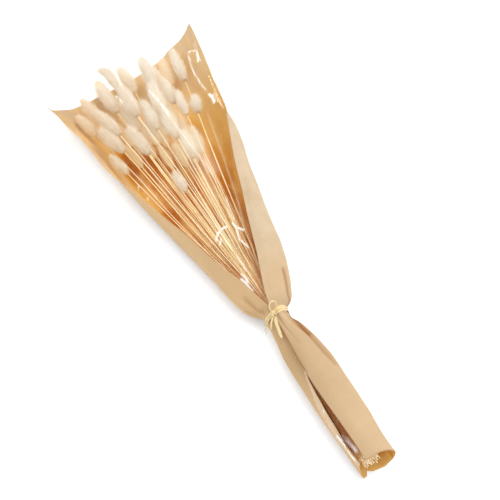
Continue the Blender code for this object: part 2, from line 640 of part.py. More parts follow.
def ribbon(name, points, outward, width, closed, collection, material):
    """A flat strand along points, lying square to the outward directions."""
    points = [np.array(point, dtype=float) for point in points]
    count = len(points)
    vertices, faces = [], []
    for index, point in enumerate(points):
        ahead = points[(index + 1) % count] if closed or index + 1 < count else point
        behind = points[index - 1] if closed or index > 0 else point
        travel = (ahead - behind) / np.linalg.norm(ahead - behind)
        out = np.array(outward[index], dtype=float)
        out -= travel * np.dot(out, travel)
        out /= np.linalg.norm(out)
        side = np.cross(travel, out) * width / 2
        out = out * RAFFIA_THICKNESS / 2
        vertices += [point - side - out, point + side - out, point + side + out,
                     point - side + out]
    for row in range(count if closed else count - 1):
        here, there = row * 4, ((row + 1) % count) * 4
        for corner in range(4):
            following = (corner + 1) % 4
            faces.append((here + corner, here + following, there + following, there + corner))
    if not closed:
        faces += [(3, 2, 1, 0), tuple(range(count * 4 - 4, count * 4))]
    return face_outwards(add_object(name, vertices, faces, collection, material))


def neck_band(along, slant, radius):
    """Points of a ring round the neck, and the way out from the neck at each."""
    points, outward = [], []
    for index in range(BAND_STEPS):
        angle = 2 * math.pi * index / BAND_STEPS
        out = np.array((math.cos(angle), 0.0, math.sin(angle)))
        points.append(np.array((NECK_ACROSS, along, NECK_HEIGHT)) + out * radius
                      + np.array((0.0, slant * math.cos(angle), 0.0)))
        outward.append(out)
    return points, outward


def make_raffia_tie(collection):
    material = make_material("raffia", RAFFIA_COLOUR, 0.7)
    loose = make_collection("raffia strands")
    radius = NECK_RADIUS + BAND_GAP + RAFFIA_THICKNESS / 2
    tie = None
    for place, slant, width, lift in BAND_TURNS:
        points, outward = neck_band(TIE_ALONG + place, slant, radius + lift)
        if tie is None:
            tie = ribbon("raffia_tie", points, outward, width, True, collection, material)
        else:
            ribbon("upper turn", points, outward, width, True, loose, material)
    knot_mesh = bpy.data.meshes.new("knot")
    shell = bmesh.new()
    bmesh.ops.create_uvsphere(shell, u_segments=10, v_segments=6, radius=1.0)
    for vertex in shell.verts:
        vertex.co = [(vertex.co[axis] * KNOT_HALF[axis] + KNOT_PLACE[axis]
                      - (WRAP_LENGTH / 2 if axis == 1 else 0.0)) * MM for axis in range(3)]
    shell.to_mesh(knot_mesh)
    shell.free()
    knot = bpy.data.objects.new("knot", knot_mesh)
    loose.objects.link(knot)
    for index, (route, width) in enumerate(RAFFIA_STRANDS):
        outward = [LOOP_OUT if route is BOW_LOOP else STRAND_OUT] * len(route)
        ribbon(f"strand {index}", route, outward, width, False, loose, material)
    union = tie.modifiers.new("Joined", "BOOLEAN")
    union.operation = "UNION"
    union.operand_type = "COLLECTION"
    union.collection = loose
    union.solver = "EXACT"
    bpy.context.view_layer.update()
    joined = bpy.data.meshes.new_from_object(
        tie.evaluated_get(bpy.context.evaluated_depsgraph_get()))
    tie.modifiers.clear()
    tie.data = joined
    for item in list(loose.objects):
        bpy.data.objects.remove(item, do_unlink=True)
    bpy.data.collections.remove(loose)
    return tie


clear_scene()
bunch = make_collection("dried bunny tail grass bunch")
make_kraft_wrap(bunch)
make_clear_film(bunch)
make_raffia_tie(bunch)
make_grasses(bunch)
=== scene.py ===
# %% [markdown]
# # A bunch of dried bunny tail grass in its kraft paper wrap
#
# The bunch lies on a pale table with its soft heads to the upper left. A sheet of kraft paper
# cradles it and folds over at both sides, a clear film spans the gap, and raffia is tied
# round the waist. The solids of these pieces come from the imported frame. This lesson gives
# each one its real surface: paper with creases, film with wrinkles, stranded raffia, and
# heads of several thousand hairs.
#
# Lengths in the tables are millimetres. "Along" is the distance from the cut end of the wrap,
# "across" is the distance to the right of its middle, and "height" is above the table.

# %% Load the fixed frame
import math
import random

import bpy
import numpy as np
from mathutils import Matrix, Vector, noise


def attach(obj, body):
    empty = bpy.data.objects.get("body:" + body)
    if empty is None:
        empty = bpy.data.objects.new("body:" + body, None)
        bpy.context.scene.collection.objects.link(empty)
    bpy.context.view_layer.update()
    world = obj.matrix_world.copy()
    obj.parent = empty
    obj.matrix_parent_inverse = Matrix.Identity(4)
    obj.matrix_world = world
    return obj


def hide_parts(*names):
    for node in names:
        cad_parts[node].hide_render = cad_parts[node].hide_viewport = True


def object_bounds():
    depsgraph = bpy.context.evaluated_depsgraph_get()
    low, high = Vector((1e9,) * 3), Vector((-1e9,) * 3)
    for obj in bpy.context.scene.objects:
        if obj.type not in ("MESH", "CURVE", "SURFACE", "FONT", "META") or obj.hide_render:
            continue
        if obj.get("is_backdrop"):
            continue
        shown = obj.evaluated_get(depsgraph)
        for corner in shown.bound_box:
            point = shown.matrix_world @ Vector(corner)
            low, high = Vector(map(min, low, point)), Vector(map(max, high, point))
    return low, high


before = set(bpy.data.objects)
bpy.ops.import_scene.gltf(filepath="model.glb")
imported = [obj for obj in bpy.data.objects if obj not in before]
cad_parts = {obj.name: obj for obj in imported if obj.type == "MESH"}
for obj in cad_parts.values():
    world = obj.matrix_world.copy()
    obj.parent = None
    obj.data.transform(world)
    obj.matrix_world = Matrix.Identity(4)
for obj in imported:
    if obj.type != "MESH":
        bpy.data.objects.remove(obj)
cad_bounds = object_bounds()
MM = 0.001
BUNCH_LENGTH = 604.0
print("frame loaded:", len(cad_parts), "nodes, bounds", cad_bounds)

# %% [markdown]
# ## The camera
#
# The photograph looks down at the bunch from 55 degrees with a long lens, so there is little
# perspective. The camera is placed from an azimuth, an elevation and a distance to a target
# on the bunch, which is how a photographer would note a set-up.

# %% Place the camera
AZIMUTH, ELEVATION = math.radians(-28.1), math.radians(55.0)
CAMERA_DISTANCE = 1.9
CAMERA_TARGET = Vector((0.0238, -0.0073, 0.02))

camera_back = Vector((math.sin(AZIMUTH) * math.cos(ELEVATION),
                      -math.cos(AZIMUTH) * math.cos(ELEVATION), math.sin(ELEVATION)))
camera_data = bpy.data.cameras.new("photographer's camera")
camera_data.lens = 124.0
camera_data.sensor_width = 36.0
camera = bpy.data.objects.new("photographer's camera", camera_data)
camera.location = CAMERA_TARGET + camera_back * CAMERA_DISTANCE
camera.rotation_euler = camera_back.to_track_quat("Z", "Y").to_euler()
bpy.context.scene.collection.objects.link(camera)
bpy.context.scene.camera = camera
print("camera at", [round(value, 3) for value in camera.location])

# %% [markdown]
# ## Node trees as expressions
#
# Materials and Geometry Nodes are both graphs of nodes. Wiring each one by hand makes long
# code, so a small class wraps an output socket and lets Python's own operators add the Math
# nodes. Every other node comes from one method, which takes the node's type, its settings
# and what goes into its sockets.

# %% Wrap sockets and node trees
class Value:
    """The output of a node, which arithmetic can be done on."""

    def __init__(self, maker, node, output=0):
        self.maker, self.node = maker, node
        self.socket = node.outputs[output] if len(node.outputs) else None

    def out(self, output):
        return Value(self.maker, self.node, output)

    def math(self, operation, *terms):
        return self.maker.node("ShaderNodeMath", {"operation": operation},
                               dict(enumerate(terms)))

    def __add__(self, other):
        return self.math("ADD", self, other)

    def __sub__(self, other):
        return self.math("SUBTRACT", self, other)

    def __rsub__(self, other):
        return self.math("SUBTRACT", other, self)

    def __mul__(self, other):
        return self.math("MULTIPLY", self, other)

    def __truediv__(self, other):
        return self.math("DIVIDE", self, other)

    def __pow__(self, other):
        return self.math("POWER", self, other)

    def above(self, other):
        return self.math("GREATER_THAN", self, other)

    def most(self, other):
        return self.math("MINIMUM", self, other)

    def least(self, other):
        return self.math("MAXIMUM", self, other)

    __radd__ = __add__
    __rmul__ = __mul__


class Maker:
    """Adds nodes to a tree."""

    def __init__(self, tree):
        self.tree = tree

    def node(self, kind, settings=None, sockets=None, output=0):
        made = self.tree.nodes.new(kind)
        for name, setting in (settings or {}).items():
            if name == "stops":
                ramp = made.color_ramp.elements
                while len(ramp) < len(setting):
                    ramp.new(0.5)
                for stop, (place, colour) in zip(ramp, setting):
                    stop.position, stop.color = place, (*colour, 1.0)
            else:
                setattr(made, name, setting)
        for name, given in (sockets or {}).items():
            for part in given if isinstance(given, list) else [given]:
                if isinstance(part, Value):
                    self.tree.links.new(part.socket, made.inputs[name])
                else:
                    made.inputs[name].default_value = part
        return Value(self, made, output)


print("node helpers ready")

# %% [markdown]
# ## Helpers for finishes
#
# Three patterns return in every finish: a noise at some scale, a blend of two colours by a
# mask, and a number that was stored on the mesh, such as how far along a hair a point lies.

# %% Start a material and add its common patterns
class Finish(Maker):
    """A material whose node tree is written as expressions."""

    def __init__(self, name):
        self.material = bpy.data.materials.new(name)
        self.material.use_nodes = True
        super().__init__(self.material.node_tree)
        self.tree.nodes.clear()
        self.name = name

    def place(self, axis=None):
        """Where a point lies in its object, in metres, or how far along one axis."""
        place = self.node("ShaderNodeTexCoord", output="Object")
        if axis:
            place = self.node("ShaderNodeSeparateXYZ", {}, {"Vector": place}, axis)
        return place

    def sheet(self):
        """Where a point lies on its sheet, in metres."""
        return self.node("ShaderNodeUVMap", {"uv_map": "sheet"})

    def stored(self, name):
        return self.node("ShaderNodeAttribute", {"attribute_name": name}, output="Fac")

    def speckle(self, vector, scale, detail=2.0, rough=0.5):
        """Noise at one scale, or stretched by a scale for each axis."""
        if isinstance(scale, tuple):
            vector = self.node("ShaderNodeMapping", {}, {"Vector": vector, "Scale": scale})
            scale = 1.0
        return self.node("ShaderNodeTexNoise", {}, {"Vector": vector, "Scale": scale,
                                                   "Detail": detail, "Roughness": rough})

    def spread(self, value, low, high):
        """A value that runs from 0 to 1 between low and high."""
        return self.node("ShaderNodeMapRange", {}, {0: value, 1: low, 2: high})

    def blend(self, mask, first, second):
        """The first colour where the mask is 0, the second where it is 1."""
        pick = {0: mask, 6: first if isinstance(first, Value) else (*first, 1.0),
                7: second if isinstance(second, Value) else (*second, 1.0)}
        return self.node("ShaderNodeMix", {"data_type": "RGBA"}, pick, output=2)

    def bumped(self, height, distance):
        return self.node("ShaderNodeBump", {}, {"Height": height, "Distance": distance})

    def surface(self, sockets):
        return self.node("ShaderNodeBsdfPrincipled", {}, sockets)

    def mixed(self, share, first, second):
        return self.node("ShaderNodeMixShader", {}, {0: share, 1: first, 2: second})

    def finish(self, shader):
        self.node("ShaderNodeOutputMaterial", {}, {"Surface": shader})
        print("finish:", self.name, "with", len(self.tree.nodes), "nodes")
        return self.material


print("finish helpers ready")

# %% [markdown]
# ## Helpers for meshes
#
# A finished piece is a plain mesh whose place is in its points, so its object stays at the
# origin. Points are given in millimetres as across, along and height. Numbers that a finish
# reads are stored on the points, and a UV map in metres lets fibres follow a sheet. Forms and
# tones fade in and out by three small functions of a place.

# %% Make a piece from points
def add_object(name, data):
    made = bpy.data.objects.new(name, data)
    bpy.context.scene.collection.objects.link(made)
    return made


def make_piece(name, points, faces, stored, uv=None, materials=(), edges=()):
    mesh = bpy.data.meshes.new(name)
    points = (np.asarray(points, dtype=float) - (0.0, BUNCH_LENGTH / 2, 0.0)) * MM
    mesh.from_pydata([tuple(point) for point in points], list(edges),
                     [tuple(int(corner) for corner in face) for face in faces])
    for label, values in stored.items():
        values = np.asarray(values, dtype=np.float32)
        kind, key = ("FLOAT_VECTOR", "vector") if values.ndim == 2 else ("FLOAT", "value")
        mesh.attributes.new(label, kind, "POINT").data.foreach_set(key, values.ravel())
    if uv is not None:
        layer = mesh.uv_layers.new(name="sheet")
        corners = np.zeros(len(mesh.loops), dtype=np.int32)
        mesh.loops.foreach_get("vertex_index", corners)
        layer.data.foreach_set("uv", np.asarray(uv, dtype=np.float32)[corners].ravel())
    for material in materials:
        mesh.materials.append(material)
        mesh.shade_smooth()
    mesh.update()
    return add_object(name, mesh)


def count_triangles(piece):
    piece.data.calc_loop_triangles()
    return len(piece.data.loop_triangles)


def rising(value, start, length):
    """0 up to the start, 1 from a length after it, and smooth between."""
    share = np.clip((value - start) / length, 0.0, 1.0)
    return share * share * (3.0 - 2.0 * share)


def falling(value, end, length):
    """1 until a length before the end, 0 from the end, and smooth between."""
    return rising(-value, -end, length)


def bell(value, middle, width):
    return np.exp(-((value - middle) / width) ** 2)


print("mesh helpers ready")

# %% [markdown]
# ## The kraft sheet: its form
#
# The wrap is one sheet. It could be draped by simulation, but the real one was folded by hand
# and its shape is known: ten rails run from the cut end to the top, each at a fold or a
# turn of the sheet, and a curve through them gives the section at any place along. These are
# the rails of the solid, moved by a few millimetres where the photograph asks for it, and read
# at many more stations. The cut end isn't straight: a small table gives its lobe and notch.

# %% The rails of the sheet
LEFT_EDGE = ((0, -5, 31), (30, -8, 34), (60, -7.9, 35), (85, -6.7, 36), (106, -6.0, 36.5),
             (125, -2.5, 36.3), (160, 3.5, 33.5), (190, 6, 31), (209, 6, 30.8), (215, 3, 32),
             (234, -5, 38), (257, -13, 41), (283, -24, 43), (330, -37, 45.5), (375, -50.5, 46),
             (410, -61.5, 45), (438, -71, 43.5), (456, -76, 44), (474, -79, 48), (500, -82, 50),
             (540, -88, 50), (585, -94.5, 50), (600, -101.4, 50))
LEFT_SIDE = ((0, -6, 18), (40, -8.7, 20), (82, -10.7, 20), (119, -11.3, 20), (155, -10.6, 20),
             (180, -7, 21), (192, -5.3, 21), (210, -6, 21.2), (222, -17.5, 21), (236, -23, 22),
             (256, -27, 23), (280, -31, 24), (313, -36.5, 25), (355, -44.5, 26), (392, -53, 27),
             (430, -62, 29), (455, -66.5, 30), (480, -71.5, 32), (540, -80, 34), (600, -92, 35))
LEFT_CORNER = ((0, -2.5, 6.5), (100, -6, 6.5), (155, -4.5, 7.5), (195, -1.4, 10.6),
               (210, -2, 10.6), (222, -11.5, 9), (236, -16, 8), (256, -21, 7.5), (280, -26, 7),
               (313, -32, 7), (355, -40.5, 7), (392, -47.5, 8), (430, -54, 10), (455, -57.5, 12),
               (480, -61, 13.5), (540, -68, 16), (600, -76, 19))
LEFT_FLOOR = ((0, 5, 0), (100, 2, 0), (140, 2.5, 1), (170, 3, 4), (195, 3.6, 7.7),
              (210, 3.4, 7.7), (224, -3, 5), (240, -9, 1.5), (262, -15, 0), (313, -24, 0),
              (392, -38, 0), (475, -50, 0), (600, -52, 5))
RIGHT_FLOOR = ((0, 23, 0), (100, 21, 0), (140, 18, 1), (170, 14, 4), (195, 12.4, 7.7),
               (210, 12.6, 7.7), (224, 18, 5), (240, 25, 1.5), (262, 31, 0), (313, 42, 0),
               (392, 54, 0), (475, 60, 0), (600, 52, 3))
RIGHT_CORNER = ((0, 31, 8), (100, 30, 6.5), (155, 25.5, 8), (190, 17.5, 10.7),
                (210, 17.6, 10.6), (222, 27, 9), (236, 34, 8), (262, 43, 7), (313, 53, 7),
                (392, 66, 8), (475, 74, 11), (600, 76, 13))
RIGHT_SIDE = ((0, 35, 24), (50, 35, 23), (100, 35.5, 22.5), (132, 35.5, 22), (150, 33.6, 21.5),
              (168, 30.6, 21), (186, 26, 20.5), (197, 21.3, 20), (207, 21.3, 20.2),
              (213, 30, 22.3), (219, 34.5, 23), (247, 46, 26), (281, 55, 29), (313, 60, 31),
              (347, 66, 34), (398, 76.5, 36), (426, 81.5, 38), (451, 84.5, 39), (475, 84.5, 36),
              (600, 90, 28))
RIGHT_SHOULDER = ((0, 29, 35), (100, 28.5, 37.5), (155, 24, 36.5), (190, 17.6, 29.6),
                  (207, 17.4, 29.4), (213, 23, 33), (219, 27, 35.5), (247, 36, 42),
                  (281, 44, 46), (313, 50, 48), (347, 57, 50), (398, 69, 53), (426, 76, 54.5),
                  (451, 80.5, 53), (475, 84.5, 48), (600, 97.5, 44))
RIGHT_FLAP = ((0, 13, 42), (100, 13, 43), (155, 12, 39.5), (190, 9, 33.2), (209, 9, 33.2),
              (219, 15, 38), (247, 25, 44.5), (281, 33.5, 48.5), (313, 41, 50.5),
              (347, 49.5, 52.5), (398, 63.5, 56), (426, 72, 57), (451, 79.5, 56),
              (475, 84.2, 53.5), (600, 99.5, 53))
RIGHT_EDGE = ((0, -1, 40), (43, -2.8, 41.5), (75, -4.6, 41.5), (100, -5.2, 41.3),
              (132, -4.2, 39.5), (164, -1, 35.8), (190, 1.5, 32.4), (209, 2, 32),
              (215, 3.8, 34.5), (223, 5, 38), (272, 20, 46), (312, 31.5, 50), (344, 41.5, 53),
              (385, 53.6, 55), (434, 70.4, 57), (464, 81.8, 57), (482, 84.5, 58),
              (501, 87.1, 60), (600, 101.4, 62))
SHEET_RAILS = (LEFT_EDGE, LEFT_SIDE, LEFT_CORNER, LEFT_FLOOR, RIGHT_FLOOR, RIGHT_CORNER,
               RIGHT_SIDE, RIGHT_SHOULDER, RIGHT_FLAP, RIGHT_EDGE)
# How far along each rail ends, because the sheet was cut on a slant and its corners curl.
RAIL_ENDS = (569, 571, 575, 582, 599, 604, 600, 597, 595, 593)
SLANT_START, TOP_ALONG = 475.0, 600.0
# The cut at the foot isn't quite straight: place on the section, then where the rim lies.
FOOT_RIM = ((0, 4.0), (4, 2.5), (8.3, -1.6), (11.0, 1.0), (12.3, 6.5), (13.4, 3.2), (18, 2.0),
            (25, 1.0), (34, 0.0))
FOOT_REACH = 20.0
STEPS_BETWEEN_RAILS = (4, 4, 4, 4, 4, 4, 3, 3, 4)
TIE_ALONG = 205.0
TIE_SPREAD = 17.0
GATHER_DEPTH = 0.7
# The groove below the tie: its place on the section, width and depth.
GROOVE_PLACE, GROOVE_WIDTH, GROOVE_DEPTH = 27, 0.8, 3.6
print("rails:", len(SHEET_RAILS))


# %% Read the rails at any place
def cubic(t, start, start_slope, end, end_slope):
    """A cubic between two places, with the way that it leaves one and reaches the other."""
    return ((2 * t ** 3 - 3 * t ** 2 + 1) * start + (t ** 3 - 2 * t ** 2 + t) * start_slope
            + (3 * t ** 2 - 2 * t ** 3) * end + (t ** 3 - t ** 2) * end_slope)


def follow(rail, along):
    """Read (across, height) of a rail by a cubic that never overshoots its points."""
    table = np.array(rail, dtype=float)
    knots, values = table[:, 0], table[:, 1:]
    slopes = np.diff(values, axis=0) / np.diff(knots)[:, None]
    total, product = slopes[:-1] + slopes[1:], slopes[:-1] * slopes[1:]
    safe = np.where(np.abs(total) > 1e-9, total, 1.0)
    tangents = np.zeros_like(values)
    tangents[1:-1] = np.where(product > 0, 2.0 * product / safe, 0.0)
    tangents[0], tangents[-1] = slopes[0], slopes[-1]
    place = float(np.clip(along, knots[0], knots[-1]))
    index = int(min(np.searchsorted(knots, place, side="right") - 1, len(knots) - 2))
    width = knots[index + 1] - knots[index]
    return cubic((place - knots[index]) / width, values[index], width * tangents[index],
                 values[index + 1], width * tangents[index + 1])


def spline_through(points, steps):
    """A Catmull-Rom curve through points, with one step count or one for each span."""
    points = np.asarray(points, dtype=float)
    padded = np.vstack([2 * points[0] - points[1], points, 2 * points[-1] - points[-2]])
    curve = []
    for span, count in enumerate(np.broadcast_to(steps, len(points) - 1)):
        p0, p1, p2, p3 = padded[span:span + 4]
        reach = [math.sqrt(np.linalg.norm(b - a)) for a, b in ((p0, p1), (p1, p2), (p2, p3))]
        m1 = (p2 - p1 + reach[1] * ((p1 - p0) / reach[0] - (p2 - p0) / (reach[0] + reach[1])))
        m2 = (p2 - p1 + reach[1] * ((p3 - p2) / reach[2] - (p3 - p1) / (reach[1] + reach[2])))
        curve += [cubic(step / count, p1, m1, p2, m2) for step in range(count)]
    return np.array([*curve, points[-1]])


def inward_normals(section):
    """Unit normals of a section, to the left of its direction of travel."""
    travel = np.gradient(section, axis=0)
    normals = np.stack([-travel[:, 1], travel[:, 0]], axis=1)
    return normals / np.linalg.norm(normals, axis=1)[:, None]


def sheet_section(along, fine=1):
    """The outer face of the sheet at one station, with fine points for each of the solid's."""
    section = spline_through([follow(rail, along) for rail in SHEET_RAILS],
                             np.multiply(STEPS_BETWEEN_RAILS, fine))
    index = np.arange(len(section)) / fine
    gather = (bell(along, TIE_ALONG, TIE_SPREAD) * rising(index, 5, 3.0)
              * falling(index, index[-1] - 6, 3.0))
    groove = rising(along, 112, 30.0) * falling(along, 199, 12.0)
    depth = (GATHER_DEPTH * gather * (1 - np.cos(math.pi * index / 2))
             + GROOVE_DEPTH * groove * bell(index, GROOVE_PLACE, GROOVE_WIDTH))
    section = section + inward_normals(section) * depth[:, None]
    section[:, 1] = np.maximum(section[:, 1], 0.0)
    return section


def sheet_along(along, fine=1):
    """Where each point of a station lies along the bunch, with the slanted top cut."""
    stops = np.cumsum((0,) + STEPS_BETWEEN_RAILS)
    index = np.arange(stops[-1] * fine + 1) / fine
    slant = np.interp(index, stops, RAIL_ENDS) - TOP_ALONG
    foot = np.interp(index, *zip(*FOOT_RIM)) * max(0.0, 1.0 - along / FOOT_REACH) ** 1.5
    return along + slant * rising(along, SLANT_START, TOP_ALONG - SLANT_START) + foot


print("section at the tie has", len(sheet_section(TIE_ALONG)), "points")

# %% [markdown]
# ## Creases in the paper
#
# Paper doesn't stretch. Where the tie gathers it, it breaks into sharp folds that fan out
# from the waist and fade within a hand's width, and a sheet that has been handled keeps a few
# long soft waves and small dents. The folds are drawn as lines on the sheet, each with its own
# place, length and depth, and the points near a line move along the sheet's normal. The folds
# that the photograph shows clearly have a table of their own.

# %% Draw the creases
PAPER_FINE = 3
CREASE_SEED = 5
FOLDS_EACH_SIDE = 22
ABOVE_TIE, BELOW_TIE = (1, 46.0), (-1, 30.0)


def draw_tie_folds():
    """Place on the section, drift over 100 mm, middle along, half length, width and depth."""
    draw = random.Random(CREASE_SEED)
    return [(draw.uniform(1.0, 33.0), draw.uniform(-2.5, 2.5) * side,
             TIE_ALONG + side * draw.uniform(5.0, reach * 0.7),
             draw.uniform(0.35, 1.0) * reach, draw.uniform(0.28, 0.6),
             draw.choice((-1.0, 0.7)) * draw.uniform(0.35, 1.0))
            for side, reach in (ABOVE_TIE, BELOW_TIE) for _ in range(FOLDS_EACH_SIDE)]


TIE_FOLDS = draw_tie_folds()
# Soft waves: across the section, along the bunch, where the wave starts, and its height.
SOFT_WAVES = ((7.0, 170.0, 0.6, 0.55), (11.0, 95.0, 2.1, 0.35), (4.5, 58.0, 4.4, 0.18))
# Folds that the photograph shows: points as (along, place on the section), then depth outwards,
# width on the section, and how dark the fold is.
# The last column is painted shade, darkening the fold.
SEEN_FOLDS = (
    (((112, 26.5), (125, 26.4), (150, 26.7), (167, 26.4), (180, 26.0), (198, 25.2)),
     -2.2, 0.62, 0.1),
    (((158, 26.5), (170, 26.1), (182, 25.5), (204, 24.6)), 0.0, 0.8, 0.85),
    (((112, 26.2), (140, 26.3), (160, 26.4)), 0.0, 0.9, 0.22),
    (((184, 26.9), (193, 27.5), (203, 28.7)), -0.8, 0.4, 0.5),
    (((116, 34.0), (160, 34.0), (199, 34.0)), 0.0, 0.42, 0.8),
    (((207, 24.0), (212, 24.6), (218, 26.0), (228, 26.3), (246, 26.5)), -1.8, 0.5, 0.7),
    (((212, 3.2), (218, 3.0), (224, 2.7), (236, 3.0)), 1.3, 0.35, 0.0),
    (((210, 2.9), (216, 2.5), (222, 2.0), (238, 1.8)), -1.2, 0.35, 0.4),
    (((209, 5.4), (216, 4.2), (226, 3.6)), -1.2, 0.4, 0.35),
    (((207, 3.6), (212, 2.4), (217, 1.4)), -1.0, 0.35, 0.3),
    (((150, 31.2), (176, 31.8), (200, 32.4)), -0.7, 0.5, 0.1),
    (((158, 29.3), (180, 29.6), (199, 30.4)), 0.8, 0.5, 0.0),
)


def crease(index, centre, width):
    """A narrow fold with a sharper back than a bell."""
    return np.exp(-np.abs((index - centre) / width) ** 1.5)


def crease_relief(along, index):
    """Outward shift in millimetres of a station's points, their creasing and the painted shade in
    their folds.
    """
    shift, sharp, dark = np.zeros_like(index), np.zeros_like(index), np.zeros_like(index)
    for line, depth, width, shade in SEEN_FOLDS:
        places, centres = zip(*line)
        ends = rising(along, places[0] - 2.4, 8.0) * falling(along, places[-1] + 1.8, 6.0)
        fold = crease(index, np.interp(along, places, centres), width) * ends
        shift += depth * fold
        dark += shade * fold
    for place, drift, middle, half, width, depth in TIE_FOLDS:
        line = crease(index, place + drift * (along - TIE_ALONG) / 100.0, width)
        line = line * bell(along, middle, half)
        shift += depth * line
        sharp += abs(depth) * line
    away = rising(abs(along - TIE_ALONG), 12.0, 60.0)
    for across, length, phase, height in SOFT_WAVES:
        shift += away * height * np.sin(2 * math.pi * (along / length + index / across) + phase)
    return shift, sharp, dark


print("tie folds:", len(TIE_FOLDS), "and soft waves:", len(SOFT_WAVES))

# %% [markdown]
# ## Build the kraft sheet
#
# Stations are closer together near the tie, where the folds are. The outer and the inner face
# are both made, 0.3 mm apart, and joined round the rim, so that the finish can tell the inside
# from the outside.

# %% Loft the sheet
PAPER_VISIBLE_THICKNESS = 0.3
# Stations lie this far apart, and closer within a reach of the tie.
STATION_STEP, STEP_NEAR_TIE, NEAR_TIE = 2.6, 1.5, 60
# Dents: their size, their depth, and how far the noise is moved so that they differ.
PAPER_DENTS = ((26.0, 0.28, 0.0), (9.0, 0.10, 400.0))
LOWEST_PAPER = 0.02


def crumple(points, scale, depth, shift):
    """Small dents from ridged noise, the same at every run."""
    return np.array([depth * (1.0 - 2.0 * abs(noise.noise(Vector(point) / scale)))
                     for point in points + shift])


def stations_of_sheet():
    place = 0.0
    while place < TOP_ALONG:
        yield place
        place += STEP_NEAR_TIE if abs(place - TIE_ALONG) < NEAR_TIE else STATION_STEP
    yield TOP_ALONG


def sheet_faces(rows, wide):
    """Four-sided faces of a grid, as numbers of its points."""
    corner = np.arange(rows - 1)[:, None] * wide + np.arange(wide - 1)[None]
    return np.stack([corner, corner + 1, corner + wide + 1, corner + wide], -1).reshape(-1, 4)


def two_sided_faces(rows, wide):
    """Faces of a grid, of a second grid that lies behind it, and of the rim round both."""
    faces, count = sheet_faces(rows, wide), rows * wide
    border = list(range(wide)) + [row * wide + wide - 1 for row in range(1, rows)]
    border += [count - 1 - col for col in range(1, wide)]
    border += [row * wide for row in range(rows - 2, 0, -1)]
    rim = [(first, second, second + count, first + count)
           for first, second in zip(border, border[1:] + border[:1])]
    return [*faces[:, ::-1], *(faces + count), *rim]


def grid_normals(grid):
    """Unit normals of a grid of points, to the side that its columns and rows turn to."""
    normals = np.cross(np.gradient(grid, axis=1), np.gradient(grid, axis=0))
    return normals / np.linalg.norm(normals, axis=2)[:, :, None]


def lay(section, level):
    """A station's points as across, along and height."""
    return np.stack([section[:, 0], level, section[:, 1]], axis=1)


paper_rows, paper_creases, painted_fold_shades = [], [], []
paper_stations = np.array(list(stations_of_sheet()))
for along in paper_stations:
    section, level = sheet_section(along, PAPER_FINE), sheet_along(along, PAPER_FINE)
    shift, sharp, dark = crease_relief(along, np.arange(len(section)) / PAPER_FINE)
    for dents in PAPER_DENTS:
        shift = shift + crumple(lay(section, level), *dents)
    moved = section - inward_normals(section) * shift[:, None]
    moved[:, 1] = np.maximum(moved[:, 1], LOWEST_PAPER)
    paper_rows.append(lay(moved, level))
    paper_creases.append(sharp)
    painted_fold_shades.append(dark)
paper_grid = np.array(paper_rows)
print("paper grid:", paper_grid.shape)

# %% [markdown]
# ## The kraft finish
#
# Kraft paper is matt and brown, with a cloudy tone from uneven pulp, short fibres lighter and
# darker than the ground, faint ribs from the machine, and paler lines where folds have rubbed.
# Inside the wrap, light bounces from paper to paper and comes back golden, and deeper orange
# towards the waist: this bounce light and shade are painted into the inner face's colour, with
# a deeper painted shade along the lower left, a paler painted haze inside the left margin and
# painted light at the mouth. The inner face also has a painted glow of its own colour, and
# painted shade darkens some folds, the tube below the waist and the inner top-left corner.
# Where the orange is deep, where the painted shade falls and where the paper glows is stored on
# the points. The pattern reads a UV map in metres, so the fibres bend with the sheet.

